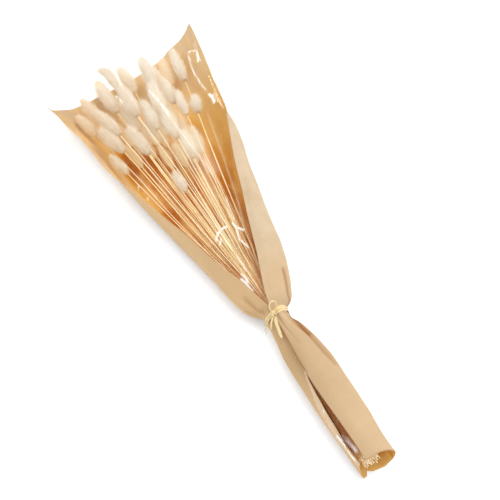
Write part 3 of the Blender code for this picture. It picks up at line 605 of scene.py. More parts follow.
# %% Paint the kraft paper
def make_kraft_finish():
    paper = Finish("kraft paper")
    sheet = paper.sheet()
    cloud = paper.speckle(sheet, 38.0, 3.0, 0.55)
    pulp = paper.speckle(sheet, 420.0, 3.0, 0.6)
    long_fibre = paper.speckle(sheet, (2600.0, 260.0, 1.0), 2.0, 0.6)
    cross_fibre = paper.speckle(sheet, (300.0, 2300.0, 1.0), 2.0, 0.6)
    ribs = paper.node("ShaderNodeTexWave", {"bands_direction": "X"},
                      {"Vector": sheet, "Scale": 210.0, "Distortion": 1.2, "Detail": 1.0},
                      output="Fac")
    dark_fibre = paper.spread(long_fibre, 0.62, 0.72).least(paper.spread(cross_fibre, 0.66, 0.74))
    pale_fibre = paper.spread(1.0 - long_fibre, 0.62, 0.72)
    outer = paper.blend(paper.spread(cloud, 0.3, 0.7), (0.525, 0.392, 0.252),
                        (0.61, 0.475, 0.328))
    outer = paper.blend(paper.stored("warm"), outer, (0.585, 0.385, 0.205))
    # The inner colour is painted with bounce light and shade: the kraft's own tone where there is
    # least, then golden, then deeper orange towards the waist.
    inner = paper.node("ShaderNodeValToRGB", {"stops": (
        (0.0, (0.57, 0.40, 0.25)), (0.16, (0.66, 0.47, 0.27)), (0.34, (0.66, 0.40, 0.12)),
        (0.55, (0.56, 0.26, 0.035)), (0.78, (0.49, 0.175, 0.014)),
        (1.0, (0.42, 0.115, 0.008)))}, {"Fac": paper.stored("depth")})
    # Lighter patches on the inner face: partly the paper's own mottling, partly painted light on
    # its soft waves.
    wave = paper.speckle(sheet, (44.0, 20.0, 1.0), 3.0, 0.55)
    inner = paper.blend(paper.spread(wave, 0.42, 0.62) * 0.5, inner, (0.78, 0.51, 0.19))
    inside = paper.stored("inside")
    # A painted glow: the inner face gives off its own colour where the stored glow is.
    through = paper.blend(inside * paper.stored("gleam"), (0.0, 0.0, 0.0), inner)
    colour = paper.blend(inside, outer, inner)
    # Painted shade from the stored masks on the tube, the corner and the folds; then the paper's
    # own pulp, fibres and rubbed creases.
    for mask, tone in ((paper.stored("dim"), (0.34, 0.21, 0.10)),
                       (paper.stored("dark"), (0.25, 0.085, 0.02)),
                       ((1.0 - pulp) * 0.22, (0.50, 0.32, 0.15)),
                       (dark_fibre * 0.28, (0.42, 0.25, 0.11)),
                       (pale_fibre * 0.20, (0.86, 0.72, 0.52)),
                       (paper.spread(paper.stored("crease"), 0.5, 1.8) * 0.25,
                        (0.84, 0.68, 0.48))):
        colour = paper.blend(mask, colour, tone)
    relief = pulp * 0.5 + ribs * 0.18 + (dark_fibre - pale_fibre) * 0.25 + cloud * 0.4
    return paper.finish(paper.surface({
        "Base Color": colour, "Roughness": 0.74 + pulp * 0.16,
        "Normal": paper.bumped(relief, 0.00025), "Specular IOR Level": 0.04,
        "Emission Color": through, "Emission Strength": 0.2}))


def kraft_tones(along, index):
    """The painted bounce orange, painted glow and warmth of the sheet, and its painted shade: on
    the outer face the tube's, on the inner face the corner's.
    """
    # How much painted bounce orange the inner face gets, more towards the waist.
    deep = np.clip((TOP_ALONG - along) / (TOP_ALONG - 260.0), 0.0, 1.0)
    # A deeper painted shade along the lower left of the inside, from the waist to near the top.
    shaded = rising(along, 225.0, 30.0) * falling(along, 545.0, 70.0)
    deep = deep + 0.62 * bell(index, 12.9, 2.9) * shaded
    # At the mouth the inner colour is lighter: painted light where the cut end lets it in.
    mouth = falling(along, 36.0, 30.0)
    deep = deep * (1 - mouth * np.where(index < 21, 0.60, 0.36))
    # A paler band inside the left margin: a painted haze of light from the film over it.
    pale = falling(index, 12.7, 0.8) * rising(along, 335.0, 60.0) * falling(along, 540.0, 60.0)
    deep = deep * (1 - 0.75 * pale)
    # Where the inner face has its painted glow: above the waist, fading at the top except on the
    # right, and strongly at the mouth.
    top = np.maximum(falling(along, 585.0, 50.0), 0.7 * (index > 15))
    gleam = rising(along, 215.0, 40.0) * top + 2.8 * mouth * (index > 6)
    below = falling(along, 245.0, 60.0)
    warm = np.maximum(falling(index, 18.0, 10.0),
                      0.6 * np.maximum(below, bell(along, 232.0, 35.0)))
    # Painted shade on the outer face of the tube below the waist: its right part, its right flap,
    # and the left flap where the right flap lies over it.
    dim = 0.25 * rising(along, 20.0, 130.0) * rising(index, 10, 8.0)
    dim = (dim + 0.22 * rising(index, 30.5, 3.0)) * falling(along, 200.0, 30.0)
    dim = (dim + 0.4 * bell(along, 145.0, 45.0) * (index < 4)) * below
    # Painted shade in the inner face's top-left corner.
    corner = 0.25 * falling(index, 14.0, 8.0) * rising(along, 520.0, 50.0)
    return {"depth": deep, "gleam": gleam, "warm": warm}, np.concatenate([dim, corner])


def build_kraft_sheet():
    rows, wide = paper_grid.shape[:2]
    inner_grid = paper_grid + grid_normals(paper_grid) * PAPER_VISIBLE_THICKNESS
    width = np.cumsum(np.linalg.norm(np.diff(paper_grid, axis=1, prepend=paper_grid[:, :1]),
                                     axis=2), axis=1)
    width -= width[:, wide // 2:wide // 2 + 1]
    uv = np.stack([width, paper_grid[:, :, 1]], axis=2).reshape(-1, 2) * MM
    both, dim = kraft_tones(np.repeat(paper_stations, wide),
                            np.tile(np.arange(wide) / PAPER_FINE, rows))
    both |= {"dark": np.ravel(painted_fold_shades), "crease": np.ravel(paper_creases)}
    stored = {label: np.tile(tone, 2) for label, tone in both.items()}
    stored |= {"inside": np.repeat((0.0, 1.0), rows * wide), "dim": dim}
    return make_piece("kraft_sheet", np.concatenate([paper_grid, inner_grid]).reshape(-1, 3),
                      two_sided_faces(rows, wide), stored, np.vstack([uv, uv]),
                      [make_kraft_finish()])


kraft_sheet = build_kraft_sheet()
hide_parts("kraft_wrap")
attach(kraft_sheet, "root")
print("kraft sheet:", count_triangles(kraft_sheet), "triangles")

# %% [markdown]
# ## The clear film: its form
#
# The film lies between the paper and the grass and spans the front. Film is stiff and slippery:
# it bridges the gap almost flat and takes its slack in narrow ridges that run up from the
# waist, with a crumpled end at the foot, where one corner comes out of the gap and lies over
# the left flap. The ridges matter more than the film itself, because a clear sheet is seen
# only by what it reflects.

# %% The film's rails and wrinkles
FILM_FREE = (((0, -3, 14), (100, -7.5, 14), (160, -5, 15), (196, 0.2, 17), (214, 0.2, 17)),
             ((0, -4.5, 26), (100, -8, 26), (160, -5, 25), (196, 0.6, 23.4), (214, 0.6, 23.4)),
             ((0, -1, 34), (100, -2, 32), (160, 1, 29), (196, 3.6, 26.8), (214, 3.6, 26.8)),
             ((0, 8, 37), (100, 6, 35.5), (160, 6, 31), (196, 8, 28.1), (214, 8, 28.1)),
             ((0, 16, 38), (100, 15, 36), (160, 12, 31), (196, 12.4, 26.8), (214, 12.4, 26.8)),
             ((0, 25, 34), (100, 24, 33), (160, 19, 28), (196, 15.4, 23.4), (214, 15.4, 23.4)),
             ((0, 30, 25), (100, 30, 26), (160, 23, 23), (196, 15.8, 17), (214, 15.8, 17)))
FILM_CROWN = ((242, 0), (288, -2), (356, 1), (430, 5), (482, 5), (572, 2))
# Points of a paper section that the film's margins lie against, and points across between.
FILM_LEFT_HOLD, FILM_RIGHT_HOLD = [4, 2, 1], [-2, -4, -7]
FILM_BRIDGE = np.linspace(0.0, 1.0, 9)[1:-1]
FILM_GAP = 1.6
# Up to here the film runs free, and after the blend it follows the paper's edges.
FREE_END, FREE_BLEND = 214.0, 28.0
FILM_STEP, FILM_END = 2.2, 572.0
FILM_COLUMNS = 120
# Ridges that catch the light: points as (across, along), then height and width.
FILM_RIDGES = (
    (((78.8, 552.4), (85.5, 552), (90, 549)), 0.9, 2.0),
    (((88.5, 549), (86.5, 541), (82.5, 533)), 0.9, 2.2),
    (((78.8, 552.4), (74.9, 538.4), (71.5, 521), (71, 503), (72.6, 488)), 0.7, 1.9),
    (((72.4, 488), (73.5, 480), (72.3, 471)), 1.0, 3.0),
    (((72.3, 484), (76.2, 480)), 0.8, 1.8),
    (((13.8, 528.6), (17.2, 505.4), (18, 477)), 0.7, 1.5),
    (((-22.1, 538), (-18.8, 523)), 0.8, 1.9),
    (((-11.6, 308), (-4.3, 316.8), (4.4, 319.4), (10, 319)), 0.9, 2.3),
    (((-10.3, 301.4), (-3.3, 310)), 0.8, 2.2),
    (((15, 321.2), (16.1, 312.4), (19.7, 308), (23, 303.6)), 0.9, 2.4),
    (((15.4, 312.4), (12.5, 297), (15.6, 288.2), (16.5, 281.6)), 0.8, 2.1),
    (((-8.9, 257.4), (-5.9, 248.6), (-5, 239.8), (-2.5, 235.4)), 1.0, 3.4),
    (((-5.5, 262.0), (-3.0, 254.0), (-3.6, 247.0)), 0.7, 2.6),
    (((0.7, 283.8), (1.5, 268.4), (-0.3, 259.6)), 0.4, 2.4),
    (((-51.2, 418), (-55.1, 411)), 0.5, 1.9),
    (((-50.2, 397), (-52, 393)), 0.5, 1.7),
    (((24.4, 354), (20, 334), (17.3, 319)), 0.35, 3.4),
    (((18, 477), (22, 420), (26, 372), (24.4, 354)), 0.22, 2.4),
    (((15, 530), (21, 480), (26, 425), (28, 375)), 0.22, 19.0),
    (((-2, 480), (6, 440), (12, 400), (15, 345)), 0.14, 16.0),
    (((-56.4, 455.4), (-46.9, 422.4), (-40.6, 385)), 0.2, 2.0),
    (((-31.4, 455), (-31.3, 409), (-30.3, 358)), 0.18, 2.0),
    (((60, 470), (46, 400), (33, 340), (23, 303)), 0.2, 2.2),
    (((-8, 58), (-4, 56), (0, 57), (4, 62)), 0.5, 1.4),
    (((-6.5, 44), (-5.0, 34), (-3.0, 24), (-2.0, 14)), 0.8, 3.6),
)
# The corner over the left flap: where it lies, how far it reaches by place along, and its own
# ridges as points (millimetres from the flap's edge, along), then height, width and whiteness.
TONGUE_PLACES = np.arange(3.0, 134.0, 1.4)
TONGUE_SHARES = np.linspace(0.0, 1.0, 34)
MM_PER_REACH = 3.4
TONGUE_REACH = ((3, 3.0), (20, 3.6), (45, 3.4), (62, 2.8), (73, 2.6), (84, 2.3), (98, 1.3),
                (109, 0.7), (134, 0.2))
# Their whiteness is partly crease whitening and partly painted glint.
TONGUE_RIDGES = (
    (((8.0, 46), (6.2, 38), (3.0, 30), (0.8, 22)), 1.4, 4.2, 0.8),
    (((0.8, 24), (3.2, 16), (2.0, 8)), 1.2, 3.0, 0.8),
    (((2.8, 41), (0.8, 33), (0.3, 27)), 0.9, 1.5, 0.6),
    (((2.6, 70), (2.2, 74), (0.3, 74.5)), 0.6, 1.3, 0.7),
    (((7.6, 30), (7.0, 20), (5.2, 12)), 0.5, 1.2, 0.3),
)
print("film ridges:", len(FILM_RIDGES) + len(TONGUE_RIDGES))


# %% The film's section and relief
def film_section(along):
    """The film's outer face at one station, from margin to margin."""
    free = spline_through([follow(rail, along) for rail in FILM_FREE], 2)
    if along <= FREE_END:
        return free
    paper = sheet_section(along)
    inside = paper + inward_normals(paper) * (FILM_GAP + falling(along, 290.0, 40.0))
    left, right = inside[FILM_LEFT_HOLD], inside[FILM_RIGHT_HOLD]
    share = FILM_BRIDGE[:, None]
    bridge = left[-1] * (1 - share) + right[0] * share
    bridge[:, 1] += np.interp(along, *zip(*FILM_CROWN)) * 4 * FILM_BRIDGE * (1 - FILM_BRIDGE)
    mix = rising(along, FREE_END, FREE_BLEND)
    return free * (1 - mix) + np.vstack([left, bridge, right]) * mix


def film_along(along):
    paper = sheet_along(along)
    left, right = paper[FILM_LEFT_HOLD], paper[FILM_RIGHT_HOLD]
    bridge = left[-1] * (1 - FILM_BRIDGE) + right[0] * FILM_BRIDGE
    return np.maximum(np.concatenate([left, bridge, right]), 3.0)


def walk(path):
    """How far along a path each of its points lies."""
    return np.concatenate([[0], np.cumsum(np.linalg.norm(np.diff(path, axis=0), axis=1))])


def distance_to_line(places, line):
    """Distance from flat places to a line of points, and how far along it the nearest is."""
    line = np.asarray(line, dtype=float)
    best, where, walked = np.full(len(places), 1e9), np.zeros(len(places)), walk(line)
    for first, second, start in zip(line, line[1:], walked):
        travel = second - first
        length = np.linalg.norm(travel)
        share = np.clip((places - first) @ travel / length ** 2, 0.0, 1.0)
        gap = np.linalg.norm(places - first - share[:, None] * travel, axis=1)
        closer = gap < best
        best[closer] = gap[closer]
        where[closer] = (start + share[closer] * length) / walked[-1]
    return best, where


def lay_ridges(flat, ridges, fade, core):
    """Height of the ridges, and their whiteness (crease whitening and painted glint), which keeps
    to a core of their width.
    """
    height, milky = np.zeros(len(flat)), np.zeros(len(flat))
    for line, tall, wide, *white in ridges:
        gap, where = distance_to_line(flat, line)
        ends = rising(where, 0.0, fade) * falling(where, 1.0, fade)
        height += tall * bell(gap, 0.0, wide) * ends
        milky += (white[0] if white else min(1.0, tall)) * bell(gap, 0.0, core * wide) * ends
    return height, milky


def film_row(along):
    """A station's points, read again at even spaces along its length."""
    dense = spline_through(lay(film_section(along), film_along(along)), 8)
    wanted = np.linspace(0, walk(dense)[-1], FILM_COLUMNS + 1)
    return np.stack([np.interp(wanted, walk(dense), axis) for axis in dense.T], axis=1)


film_grid = np.array([film_row(along) for along in np.arange(0.0, FILM_END + 0.1, FILM_STEP)])
print("film grid:", film_grid.shape)

# %% [markdown]
# ## Wrinkle the film and give it its finish
#
# The ridges are added to the film's height, each with a narrow round back, and a noise that is
# stretched along the bunch adds the many small ripples between them. The finish lets light
# through, and mixes in a sharp gloss by Fresnel, so that it reflects little when looked at
# squarely and more at a glance. Sharp ridges turn white, partly as folded film whitens and
# partly as painted glints, and two broad low ridges leave a faint painted cream haze of
# reflection over the middle of the bunch.

# %% Add the ridges
def ripple(across, along, high):
    return noise.noise(Vector((across, along, high)))


def film_relief(grid):
    flat = grid.reshape(-1, 3)
    height, milky = lay_ridges(flat[:, :2], FILM_RIDGES, 0.12, 0.45)
    for number, (across, along, _) in enumerate(flat):
        fan = across / (0.35 + max(along - TIE_ALONG, 0.0) / 400.0)
        foot = bell(along, 3.0, 34.0)
        crumpled = abs(ripple(across / 6.0, along / 9.0, 17.0))
        height[number] += (0.13 * ripple(fan / 7.0, along / 90.0, 3.0)
                           + 0.02 * ripple(fan / 2.6, along / 40.0, 9.0)
                           + foot * (2.0 * crumpled - 0.7))
        # The crumpled foot turns white in places: partly crease whitening, partly painted glints.
        milky[number] += foot * rising(crumpled, 0.28, 0.2) * 0.35
    return height, milky


def make_film_finish():
    film = Finish("clear film")
    crinkle = film.speckle(film.place(), (420.0, 60.0, 300.0), 3.0, 0.6)
    relief = film.bumped(crinkle, 0.00025)
    fresnel = film.node("ShaderNodeFresnel", {}, {"IOR": 1.5, "Normal": relief})
    gloss = film.node("ShaderNodeBsdfGlossy", {}, {"Color": (1.0, 1.0, 1.0, 1.0),
                                                   "Roughness": 0.09, "Normal": relief})
    clear = film.node("ShaderNodeBsdfTransparent", {}, {"Color": (0.995, 0.99, 0.98, 1.0)})
    seen = film.mixed((fresnel * 0.11).most(0.5), clear, gloss)
    # The whiteness is partly crease whitening and partly painted glints; low values give a
    # painted cream haze of reflection.
    milky = film.stored("milky")
    white = film.blend(film.spread(milky, 0.12, 0.5), (0.95, 0.83, 0.58), (0.96, 0.95, 0.93))
    crease_white_and_glint_surface = film.surface({"Base Color": white, "Roughness": 0.3})
    return film.finish(film.mixed((milky * 0.95).most(0.9), seen, crease_white_and_glint_surface))


def creased_section(along):
    """The finished paper's outer face at one station."""
    after = int(np.searchsorted(paper_stations, along, side="right"))
    before = after - 1
    share = (along - paper_stations[before]) / (paper_stations[after] - paper_stations[before])
    return (paper_grid[before] * (1 - share) + paper_grid[after] * share)[:, (0, 2)]


def film_tongue():
    """The corner of the film that comes out of the gap and lies over the left flap."""
    rows, flat = [], []
    for along in TONGUE_PLACES:
        section = creased_section(along)
        outward = -inward_normals(section)
        reach = float(np.interp(along, *zip(*TONGUE_REACH)))
        row = []
        for share in TONGUE_SHARES:
            place = share * reach * PAPER_FINE
            first = int(place)
            spot = section[first] * (1 + first - place) + section[first + 1] * (place - first)
            dent = abs(ripple(share * 4.0, along / 9.0, 31.0))
            foot = bell(along, 24.0, 20.0) * (1.0 - 0.7 * share)
            spot = spot + outward[first] * (0.7 + foot * (0.5 + 1.6 * dent))
            row.append((spot[0], along, spot[1]))
            flat.append((share * reach * MM_PER_REACH, along, share))
        rows.append(row)
    grid, flat = np.array(rows), np.array(flat)
    height, milky = lay_ridges(flat[:, :2], TONGUE_RIDGES, 0.1, 0.6)
    grid[:, :, 2] = np.maximum(grid[:, :, 2] + height.reshape(grid.shape[:2]), 0.8)
    # The tongue's far edge gets a faint painted glint in its lower part.
    return grid, milky + 0.16 * bell(flat[:, 2], 0.98, 0.03) * falling(flat[:, 1], 112.0, 25.0)


def build_film_sheet():
    height, milky = film_relief(film_grid)
    main = film_grid + grid_normals(film_grid) * height.reshape(*film_grid.shape[:2], 1)
    main[:, :, 2] = np.maximum(main[:, :, 2], 0.6)
    tongue, tongue_white_and_glint = film_tongue()
    faces = np.vstack([sheet_faces(*main.shape[:2]),
                       sheet_faces(*tongue.shape[:2]) + len(milky)])
    return make_piece("film_sheet", np.vstack([main.reshape(-1, 3), tongue.reshape(-1, 3)]),
                      faces, {"milky": np.concatenate([milky, tongue_white_and_glint])},
                      materials=[make_film_finish()])


film_sheet = build_film_sheet()
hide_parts("clear_film")
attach(film_sheet, "root")
print("film sheet:", count_triangles(film_sheet), "triangles")

# %% [markdown]
# ## Where each grass lies
#
# Each grass of the frame is a straw of three-sided rings, all square to the bunch, and a head.
# Its middle line can be read back from the solid: sorted along the bunch, its points come in
# threes up to the head, and the farthest point is the tip. The lesson's grass follows that
# line, so it stays clear of its neighbours, and only a few move by some millimetres.

# %% Read the grasses from the frame
def read_grass(node):
    """Knots of the straw, the head's tip and its greatest radius, in millimetres."""
    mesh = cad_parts[node].data
    points = np.zeros(len(mesh.vertices) * 3)
    mesh.vertices.foreach_get("co", points)
    points = np.unique(np.round(points.reshape(-1, 3) / MM, 3), axis=0)
    points[:, 1] += BUNCH_LENGTH / 2
    points = points[np.argsort(points[:, 1], kind="stable")]
    knots = []
    while np.ptp(points[:3, 1]) < 0.02:
        knots.append(points[:3].mean(axis=0))
        points = points[3:]
    knots = np.array(knots)
    tip = points[np.argmax(np.linalg.norm(points - knots[-1], axis=1))]
    axis = (tip - knots[-1]) / np.linalg.norm(tip - knots[-1])
    offset = points - knots[-1]
    radius = np.linalg.norm(offset - (offset @ axis)[:, None] * axis, axis=1)
    return knots, tip, float(np.percentile(radius, 92))


grass_names = sorted(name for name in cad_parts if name.startswith("grass_"))
grasses = {name: read_grass(name) for name in grass_names}
print("grasses:", len(grasses), "first:", [len(grasses["grass_01"][0])], grasses["grass_01"][1:])

# %% [markdown]
# ## The guide of one grass
#
# A Geometry Nodes tree can grow both the straw and the hairs from one guide mesh: a line of
# edges for the straw, more lines for the thin dried leaves that leave it at a joint and wander
# beside it, and a slim core for the head. The points carry numbers for the tree: which part
# they are, how thick it is there, how far up the head they lie and the way to its tip.

# %% Make the guide of a grass
BUNCH_MIDDLE = 8.0
LEAVES_EACH = 9
CORE_SHARE, CORE_SIDES, CORE_RINGS = 0.56, 14, 16
# A head's outline: where its curve starts, how much of it is used, and its fullness.
HEAD_START, HEAD_SPAN = 0.05, 0.93
HEAD_FULLNESS, DROP_FULLNESS = 0.62, 0.95
# One head nods, and one is a drop: it is shorter, with its belly low.
NODDING_GRASS, NODDING_WIDTH, OTHER_WIDTH = "grass_04", 0.78, 0.95
NOD, BOW = (11.0, 0.0, 2.0), (0.0, 0.0, 1.2)
DROP_GRASS, DROP_BELLY, DROP_LENGTH = "grass_14", 0.6, 0.78
# The drop's hairs shorten with a power of its outline.
DROP_SHORTEN = 0.5
DROP_SHIFT = (-4.5, -3.0, 0.0)
# Heads at the left lie further in, low heads are lifted clear, and cut ends are raised.
LEFT_START, LEFT_SHIFT = 38.0, 6.0
HEAD_CLEARANCE = 1.5
FOOT_SHIFT = (2.5, 0.0, 4.0)
LOWEST_LEAF = 4.0


def head_outline(share, belly, fullness):
    """Half the width of a head as a share of its greatest, from base to tip."""
    return np.sin(math.pi * (HEAD_START + HEAD_SPAN * share) ** belly) ** fullness


def dried_leaf(straw, draw):
    """A thin dried leaf that leaves the straw at a joint and wanders beside it."""
    first = int(draw.uniform(0.40, 0.60) * (len(straw) - 1))
    last = min(len(straw) - 1, first + draw.randint(8, 20))
    side = draw.uniform(-8.0, 8.0) + 0.25 * (BUNCH_MIDDLE - straw[last][0])
    lift = draw.uniform(-4.0, 2.5)
    bends, phase = draw.uniform(3.0, 8.0), draw.uniform(0.0, 6.0)
    leaf = []
    for number in range(first, last + 1):
        share = (number - first) / (last - first)
        curl = math.sin(share * bends + phase) * 1.7 * share
        place = straw[number] + (side * share ** 1.5 + curl, 0.0, lift * share)
        leaf.append((place[0], place[1], max(place[2], LOWEST_LEAF)))
    return leaf


def place_grass(name):
    """Knots and tip of a grass, moved to where the photograph has it."""
    knots, tip, radius = grasses[name]
    if name == DROP_GRASS:
        knots = knots + np.outer(rising(knots[:, 1], 250.0, 200.0), DROP_SHIFT)
        tip = knots[-1] + (tip - knots[-1]) * DROP_LENGTH
    radius *= NODDING_WIDTH if name == NODDING_GRASS else OTHER_WIDTH
    knots = knots + np.outer(falling(knots[:, 1], 60.0, 60.0), FOOT_SHIFT)
    beside = LEFT_SHIFT * rising(-tip[0], LEFT_START, 30.0)
    clear = max(0.0, 1.0 - min(tip[2], knots[-1][2]) + HEAD_CLEARANCE * radius)
    knots = knots + np.outer(rising(knots[:, 1], 330.0, 150.0), (beside, 0.0, clear))
    return knots, tip + (beside, 0.0, clear), radius


def make_guide(name, draw):
    knots, tip, radius = place_grass(name)
    belly, fullness, shorten = draw.uniform(0.64, 0.80), HEAD_FULLNESS, 0.0
    if name == DROP_GRASS:
        belly, fullness, shorten = DROP_BELLY, DROP_FULLNESS, DROP_SHORTEN
    straw = spline_through(knots, 6)
    bend = tip + NOD if name == NODDING_GRASS else (knots[-1] + tip) / 2 + BOW

    def line(share):
        return (1 - share) ** 2 * knots[-1] + 2 * share * (1 - share) * bend + share ** 2 * tip

    points = [*straw, line(0.06)]
    edges = [(number, number + 1) for number in range(len(points) - 1)]
    girth = [1.0] * len(points)
    for _ in range(LEAVES_EACH):
        leaf, thick = dried_leaf(straw, draw), draw.uniform(0.3, 0.8)
        edges += [(len(points) + number, len(points) + number + 1)
                  for number in range(len(leaf) - 1)]
        girth += [thick * math.sin(math.pi * (0.12 + 0.86 * number / (len(leaf) - 1)))
                  for number in range(len(leaf))]
        points += leaf
    first = len(points)
    lean, share_up = [(0.0, 1.0, 0.0)] * first, [0.0] * first
    for ring in range(CORE_RINGS):
        share = 0.01 + 0.9 * ring / (CORE_RINGS - 1)
        axis = line(share + 0.02) - line(share - 0.02)
        axis /= np.linalg.norm(axis)
        side = np.cross(axis, (0.0, 0.0, 1.0))
        side /= np.linalg.norm(side)
        outline = float(head_outline(share, belly, fullness))
        wide = radius * CORE_SHARE * outline * min(1.0, (1.0 - share) * 6)
        points += [line(share) + wide * (math.cos(angle) * side
                                         + math.sin(angle) * np.cross(side, axis))
                   for angle in 2 * math.pi * np.arange(CORE_SIDES) / CORE_SIDES]
        girth += [outline ** shorten] * CORE_SIDES
        lean += [tuple(axis)] * CORE_SIDES
        share_up += [share] * CORE_SIDES
    ring = np.arange(CORE_SIDES)
    faces = [(first + low + a, first + low + CORE_SIDES + a, first + low + CORE_SIDES + b,
              first + low + b) for low in range(0, (CORE_RINGS - 1) * CORE_SIDES, CORE_SIDES)
             for a, b in zip(ring, np.roll(ring, -1))]
    faces += [first + ring, (len(points) - CORE_SIDES + ring)[::-1]]
    stored = {"core": [0.0] * first + [1.0] * (len(points) - first), "up": share_up,
              "lay": np.array(lean), "girth": girth}
    return make_piece(name + "_guide", points, faces, stored, edges=edges), radius


print("hairs and straws will grow from guides of", CORE_RINGS * CORE_SIDES, "core points")

# %% [markdown]
# ## One hair
#
# A hair of a bunny tail is a soft tapered bristle. Thousands are needed, so one hair is a
# blade of only three triangles: it leaves the head steeply, bends over towards the tip and
# ends in a point. A number on its points says how far along the hair they lie.

# %% Make the hair blade
def make_hair():
    points = ((-0.5, 0.0, 0.0), (0.5, 0.0, 0.0), (-0.42, 0.1, 0.52), (0.42, 0.1, 0.52),
              (0.0, 0.42, 1.0))
    mesh = bpy.data.meshes.new("hair blade")
    mesh.from_pydata(points, [], [(0, 1, 3, 2), (2, 3, 4)])
    reach = mesh.attributes.new("reach", "FLOAT", "POINT")
    reach.data.foreach_set("value", [0.0, 0.0, 0.55, 0.55, 1.0])
    return bpy.data.objects.new("hair blade", mesh)


hair_blade = make_hair()
print("hair blade:", count_triangles(hair_blade), "triangles")

# %% [markdown]
# ## The finishes of the grass
#
# The hairs are cream with a warmer root. The heads on the left are darker and warmer with
# painted shade, and the low heads deep in the bunch are painted golden with the light that the
# paper bounces onto them. A blade is flat, but thousands of fine hairs pass light on from one to
# the next, so two fifths of their surface is translucent, and a painted glow of their own colour
# stands in for the rest of that light. The straw is golden and streaked above the waist,
# red-brown with painted shade in the tube, pale at its cut end, and differs from stem to stem; a
# faint painted glow of its own colour lightens it.

# %% Paint the down and the straw
def make_down_finish():
    down = Finish("cream down")
    reach, shade = down.stored("reach"), down.stored("shade")
    patch = down.speckle(down.place(), 160.0)
    root = down.blend(shade, (0.60, 0.43, 0.24), (0.80, 0.69, 0.50))
    point = down.blend(shade, (0.78, 0.72, 0.61), (0.92, 0.91, 0.88))
    colour = down.blend(down.spread(reach, 0.0, 0.7), root, point)
    colour = down.blend(down.spread(patch, 0.45, 0.75) * 0.3, colour, (0.85, 0.75, 0.59))
    # A painted glow, paler towards the tips, stands in for light passed on between the hairs.
    glow = down.blend(down.spread(reach, 0.1, 0.9), (0.34, 0.24, 0.13), (0.77, 0.76, 0.72))
    # Painted shade on the heads at the left, which lie in the sheet's shade: darker and warmer.
    painted_left_shade = down.spread(down.place("X") + patch * 0.03, 0.025, -0.05) * 0.5
    colour = down.blend(painted_left_shade, colour, (0.72, 0.56, 0.37))
    glow = down.blend(painted_left_shade, glow, (0.44, 0.33, 0.20))
    # Painted golden bounce light on the low heads deep in the bunch.
    sunk = down.spread(down.place("Z"), 0.034, 0.012)
    colour = down.blend(sunk * 0.6, colour, (0.80, 0.60, 0.34))
    glow = down.blend(sunk * 0.75, glow, (0.84, 0.66, 0.38))
    lit = down.surface({"Base Color": colour, "Roughness": 0.85, "Specular IOR Level": 0.2,
                        "Sheen Weight": 0.25, "Sheen Roughness": 0.5,
                        "Emission Color": glow, "Emission Strength": 0.34})
    through = down.node("ShaderNodeBsdfTranslucent", {}, {"Color": (0.86, 0.82, 0.74, 1.0)})
    return down.finish(down.mixed(0.4, lit, through))


def make_straw_finish():
    straw = Finish("golden straw")
    shade, up = straw.stored("shade"), straw.stored("rise")
    streak = straw.speckle(straw.place(), (2400.0, 60.0, 2400.0), 3.0)
    blotch = straw.speckle(straw.place(), 70.0)
    # Pale is the straw in light; deep is red-brown painted shade for the straw inside the tube.
    pale = straw.blend(shade, (0.87, 0.67, 0.33), (0.98, 0.91, 0.66))
    deep = straw.blend(shade, (0.62, 0.25, 0.07), (0.93, 0.64, 0.34))
    in_light = straw.spread(up + shade * 0.1, 0.47, 0.57).least(straw.spread(up, 0.04, 0.0))
    colour = straw.blend(in_light, deep, pale)
    for mask, tone in ((straw.spread(streak, 0.5, 0.7) * 0.3, (0.58, 0.34, 0.12)),
                       (straw.spread(blotch, 0.55, 0.75) * 0.3, (0.92, 0.78, 0.52)),
                       (straw.spread(up, 0.009, 0.002), (0.97, 0.89, 0.68))):
        colour = straw.blend(mask, colour, tone)
    # A faint painted glow of the straw's own colour.
    return straw.finish(straw.surface({
        "Base Color": colour, "Roughness": 0.42 + streak * 0.2,
        "Normal": straw.bumped(streak, 0.0001), "Emission Color": colour,
        "Emission Strength": 0.1}))


down_finish = make_down_finish()
straw_finish = make_straw_finish()

# %% [markdown]
# ## Grow a grass with Geometry Nodes
#
# The tree splits the guide. Its line becomes a curve, which a ring sweeps along to make the
# straw, thinner towards the head and thicker at its joints. On the core, points are scattered,
# and each takes a hair that leans from the core's normal towards the tip, with a little
# disorder. The inputs have names, so each grass can have its own size and seed.

# %% Build the grass tree
TREE_INPUTS = {"Hair": "Object", "Hairs per square mm": "Float", "Hair length": "Float",
               "Hair width": "Float", "Lean": "Float", "Disorder": "Float",
               "Straw radius": "Float", "Joint gap": "Float", "Stem shade": "Float",
               "Seed": "Int"}
STRAW_STEP = 8.0 * MM


class Grower(Maker):
    """Geometry nodes that return in the tree."""

    def read(self, name, kind="FLOAT"):
        return self.node("GeometryNodeInputNamedAttribute", {"data_type": kind}, {"Name": name})

    def write(self, geometry, name, value):
        return self.node("GeometryNodeStoreNamedAttribute", {"data_type": "FLOAT"},
                         {"Geometry": geometry, "Name": name, "Value": value})

    def painted(self, geometry, material):
        return self.node("GeometryNodeSetMaterial", {}, {"Geometry": geometry,
                                                         "Material": material})

    def joined(self, *geometry):
        return self.node("GeometryNodeJoinGeometry", {}, {"Geometry": list(geometry)})

    def scaled(self, vector, scale):
        return self.node("ShaderNodeVectorMath", {"operation": "SCALE"},
                         {0: vector, "Scale": scale})

    def added(self, first, second):
        return self.node("ShaderNodeVectorMath", {"operation": "ADD"}, {0: first, 1: second})

    def chance(self, low, high, seed):
        return self.node("FunctionNodeRandomValue", {"data_type": "FLOAT"},
                         {2: low, 3: high, "Seed": seed}, output=1)

    def aligned(self, settings, sockets):
        return self.node("FunctionNodeAlignRotationToVector", settings, sockets)


